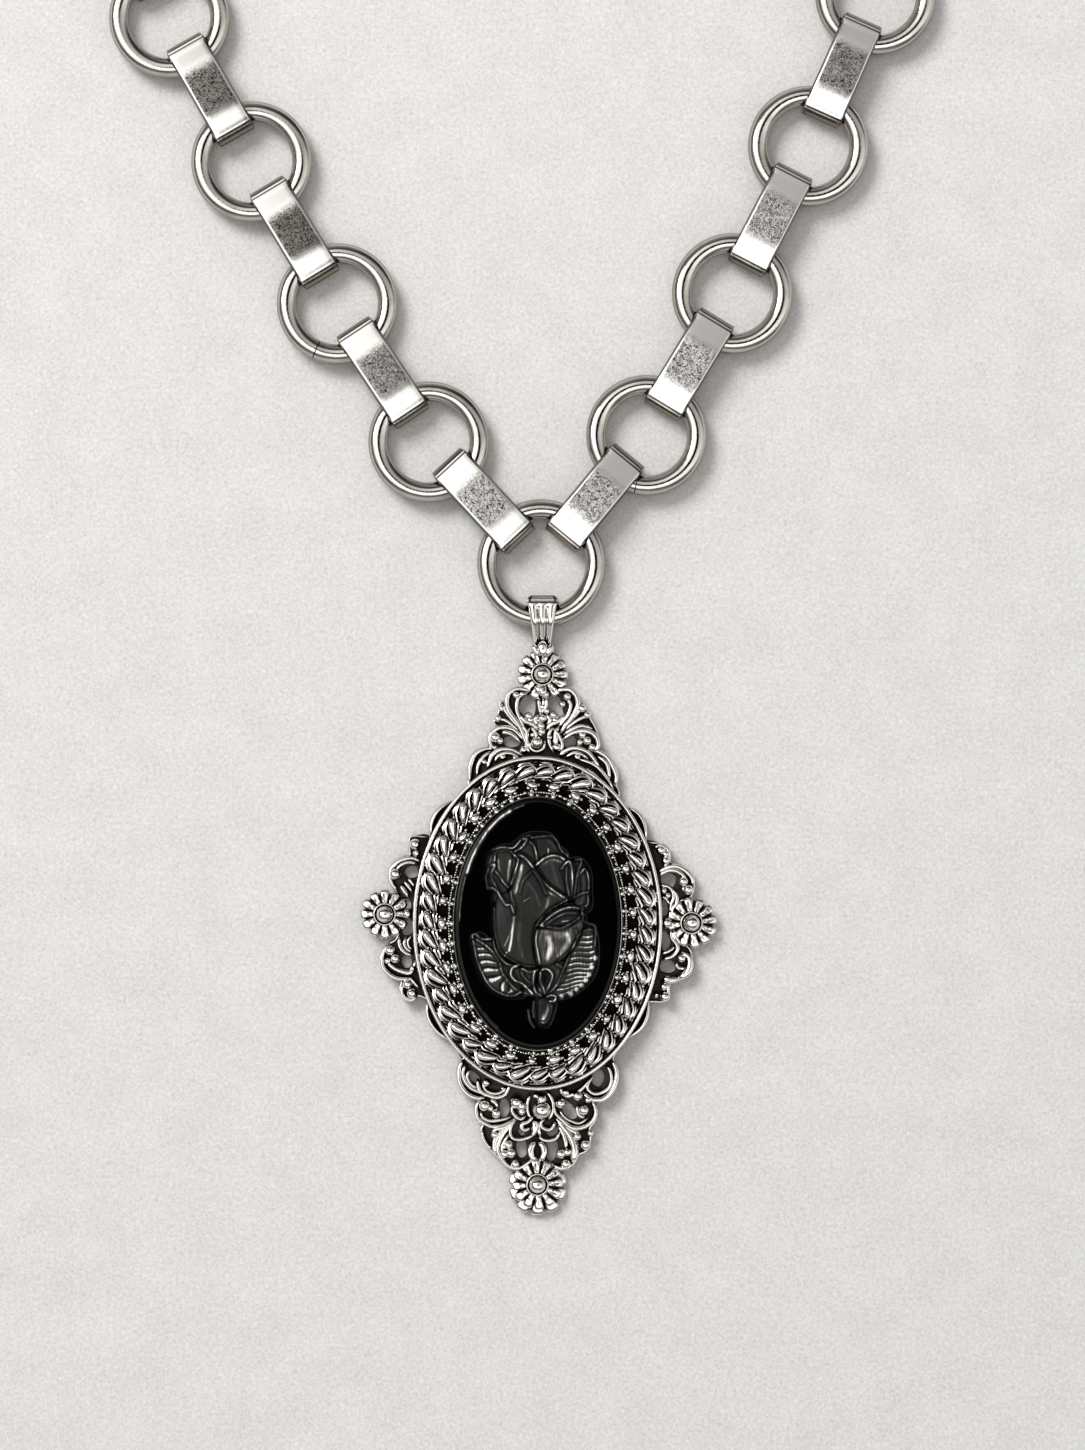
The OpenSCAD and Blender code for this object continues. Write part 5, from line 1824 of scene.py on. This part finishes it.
            # a painted highlight along each line; the first two lines paint a reflection on the shoulder
            tone = np.maximum(tone, (0.2 + 0.9 * shade) * near * drift)
            carved = np.maximum(carved, near)
        for px, py in LEAF_BEADS:
            near = np.exp(-(np.hypot(x - px, y - py) / self.bead_r) ** 4)
            height += self.bead_height * near
            tone, carved = np.maximum(tone, near), np.maximum(carved, near)
        (hole_x, hole_y), (hole_w, hole_l) = self.keyhole_at, self.keyhole_size
        keyhole = np.exp(-(((x - hole_x) / hole_w) ** 2 + ((y - hole_y) / hole_l) ** 2) ** 2)
        tone *= 1 - keyhole
        height -= 0.5 * height * keyhole
        rho = np.clip(np.hypot(u, v), 0, 1)
        steep = np.hypot(x / self.half_w ** 2, y / self.half_l ** 2) / np.maximum(rho, 1e-6)
        inset = (1 - rho) / np.maximum(steep, 1e-6)
        bend = np.clip((self.shoulder_w - inset) / self.shoulder_r, 0, 0.99)
        drop = self.shoulder_r * (1 - np.sqrt(1 - bend ** 2))
        top = self.girdle + self.shoulder_r
        swell = np.maximum(top + self.dome * (1 - rho ** 2) - drop, self.girdle)
        z = np.minimum(swell + height, self.highest)
        for vert, px, py, pz in zip(stone.verts, x, y, z):
            vert.co = (px, py, pz)
        rim = [e for e in stone.edges if e.is_boundary]
        wall = bmesh.ops.extrude_edge_only(stone, edges=rim)["geom"]
        low = [part for part in wall if isinstance(part, bmesh.types.BMVert)]
        for vert in low:
            vert.co.z = self.foot
        held = set(low)
        bmesh.ops.contextual_create(stone, geom=[part for part in wall if isinstance(part, bmesh.types.BMEdge)
                                                 and held.issuperset(part.verts)])
        bmesh.ops.recalc_face_normals(stone, faces=stone.faces)
        spare = np.zeros(len(low))
        return stone, np.concatenate([np.clip(tone, 0, 1), spare]), np.concatenate([np.clip(carved, 0, 1), spare])

    def build(self, origin: Vector, finish: bpy.types.Material) -> Piece:
        """Makes the stone.

        Args:
            origin: the stone's centre in metres.
            finish: the glass.

        Returns:
            The stone.
        """
        shape, tone, carved = self.shape()
        piece = finish_piece("carved_cameo", shape, origin, finish, [self.node], crease=70)
        for name, values in (("tone", tone), ("carved", carved)):
            piece.data.attributes.new(name, "FLOAT", "POINT").data.foreach_set("value", values.astype(np.float32))
        return piece


# ---- the studio ---------------------------------------------------------


@dataclass
class Studio:
    """The paper, the lights and the camera straight above."""

    centre: Point = (0.00244, -0.0675)
    view_h: float = 0.1747
    lens: float = 120.0
    sensor: float = 36.0
    table: float = 1.6
    fill: float = 0.48
    overhead: Triple = (-0.12, 0.02, 0.0)
    reach: float = 1.6
    wall: tuple[Point, ...] = ((0.0, 0.0), (0.21, 0.01), (0.29, 0.62), (0.5, 0.82), (0.8, 0.84), (0.94, 0.34),
                               (1.08, 0.06), (1.3, 0.08), (1.45, 0.25), (1.6, 0.35))
    dim_side: Triple = (-0.707, -0.707, 0.0)
    sides: Span = (0.65, 2.5)
    pane: float = 5.0
    pane_at: Triple = (-0.7, 0.22, 0.68)
    lamps: tuple[tuple[str, Triple, float, float], ...] = (("window", (-0.5, 0.66, 0.86), 0.5, 12.0),
                                                           ("ceiling", (0.0, 0.05, 1.5), 0.8, 2.6))

    def floor(self) -> None:
        """Lays the paper under the necklace."""
        sheet = bmesh.new()
        bmesh.ops.create_grid(sheet, x_segments=2, y_segments=2, size=self.table / 2)
        bmesh.ops.translate(sheet, vec=(self.centre[0], self.centre[1], -0.00002), verts=sheet.verts)
        mesh = as_pattern(sheet, "paper")
        mesh.materials.append(Paper().make())
        floor = bpy.data.objects.new("paper", mesh)
        bpy.context.scene.collection.objects.link(floor)

    def camera(self) -> None:
        """Sets the camera straight above the middle of the view."""
        eye = bpy.data.cameras.new("above")
        eye.lens, eye.sensor_width = self.lens, self.sensor
        eye.clip_start, eye.clip_end = 0.01, 10.0
        holder = bpy.data.objects.new("above", eye)
        holder.location = (*self.centre, 0.003 + self.view_h * self.lens / self.sensor)
        bpy.context.scene.collection.objects.link(holder)
        bpy.context.scene.camera = holder

    def lamp(self, name: str, at: Triple, size: float, power: float) -> None:
        """Hangs one soft light that looks at the middle of the view.

        Args:
            name: the light's name.
            at: its place.
            size: its side.
            power: its power in watts.
        """
        light = bpy.data.lights.new(name, "AREA")
        light.size, light.energy = size, power
        holder = bpy.data.objects.new(name, light)
        holder.location = (self.centre[0] + at[0], self.centre[1] + at[1], at[2])
        holder.rotation_euler = (-Vector(at)).to_track_quat("-Z", "Y").to_euler()
        holder.visible_glossy = False
        bpy.context.scene.collection.objects.link(holder)

    def room(self) -> None:
        """Makes the room: a dark camera overhead, bright walls, a dark skirting."""
        world = bpy.data.worlds.new("studio")
        nodes = Nodes(world)
        world.cycles.sampling_method = "NONE"  # its own rays find the world, so diffuse rays see only the fill
        bpy.context.scene.world = world
        way = nodes.add("TexCoord", output="Generated")
        off_axis = nodes.vector("MULTIPLY_ADD", way, (1.0, 1.5, 0.0), self.overhead)
        share = nodes.maths("DIVIDE", nodes.vector("LENGTH", off_axis, output="Value"), self.reach)
        wall = nodes.add("ValToRGB", {"stops": [(at / self.reach, (level, level, level, 1.0))
                                                for at, level in self.wall], 0: share})
        around = nodes.vector("NORMALIZE", nodes.vector("MULTIPLY", way, (1, 1, 0)))
        side = nodes.remap(nodes.vector("DOT_PRODUCT", around, self.dim_side, output="Value"), -1.0, 0.2, *self.sides)
        pane = nodes.remap(nodes.vector("DOT_PRODUCT", way, self.pane_at, output="Value"), 0.972, 0.986, 0.0, self.pane)
        seen = nodes.maths("ADD", nodes.maths("MULTIPLY", wall, side), pane)
        path = add_node(nodes.tree, "LightPath", {}).outputs
        plain = nodes.maths("MAXIMUM", path["Is Diffuse Ray"], path["Is Camera Ray"])
        glow = nodes.add("Mix", {"data_type": "FLOAT", 0: plain, 2: seen, 3: self.fill})
        add_node(nodes.tree, "OutputWorld", {"Surface": nodes.add("Background", {"Color": glow})})

    def build(self) -> None:
        """Sets up the whole studio."""
        self.floor()
        self.camera()
        self.room()
        for lamp in self.lamps:
            self.lamp(*lamp)
        scene = bpy.context.scene
        scene.view_settings.view_transform = "Standard"
        scene.view_settings.look = "None"


def main() -> None:
    """Builds the necklace piece by piece."""
    logging.basicConfig(level=logging.INFO, format="%(name)s %(message)s")
    stone_at = centre_of("cameo_stone")
    cast = AntiquedCast().make()
    seams = {"ring_left_2": 246.0, "ring_right_1": 258.0}
    Studio().build()
    wear = {"strap_left_1": 0.8, "strap_left_2": 0.3, "strap_left_3": 0.0, "strap_left_4": 0.05,
            "strap_right_1": 0.8, "strap_right_2": 0.9, "strap_right_3": 0.7}
    pieces = Chain(seams_deg=seams, wear=wear).build(PolishedWire().make(), MottledStrap().make())
    pieces.append(Bail().build(stone_at, cast))
    pieces.append(Filigree().build(stone_at, cast))
    pieces.append(Setting().build(stone_at, cast))
    pieces.append(CameoStone().build(stone_at, BlackGlass().make()))
    LOG.info("%d pieces", len(pieces))


if __name__ == "__main__":
    main()
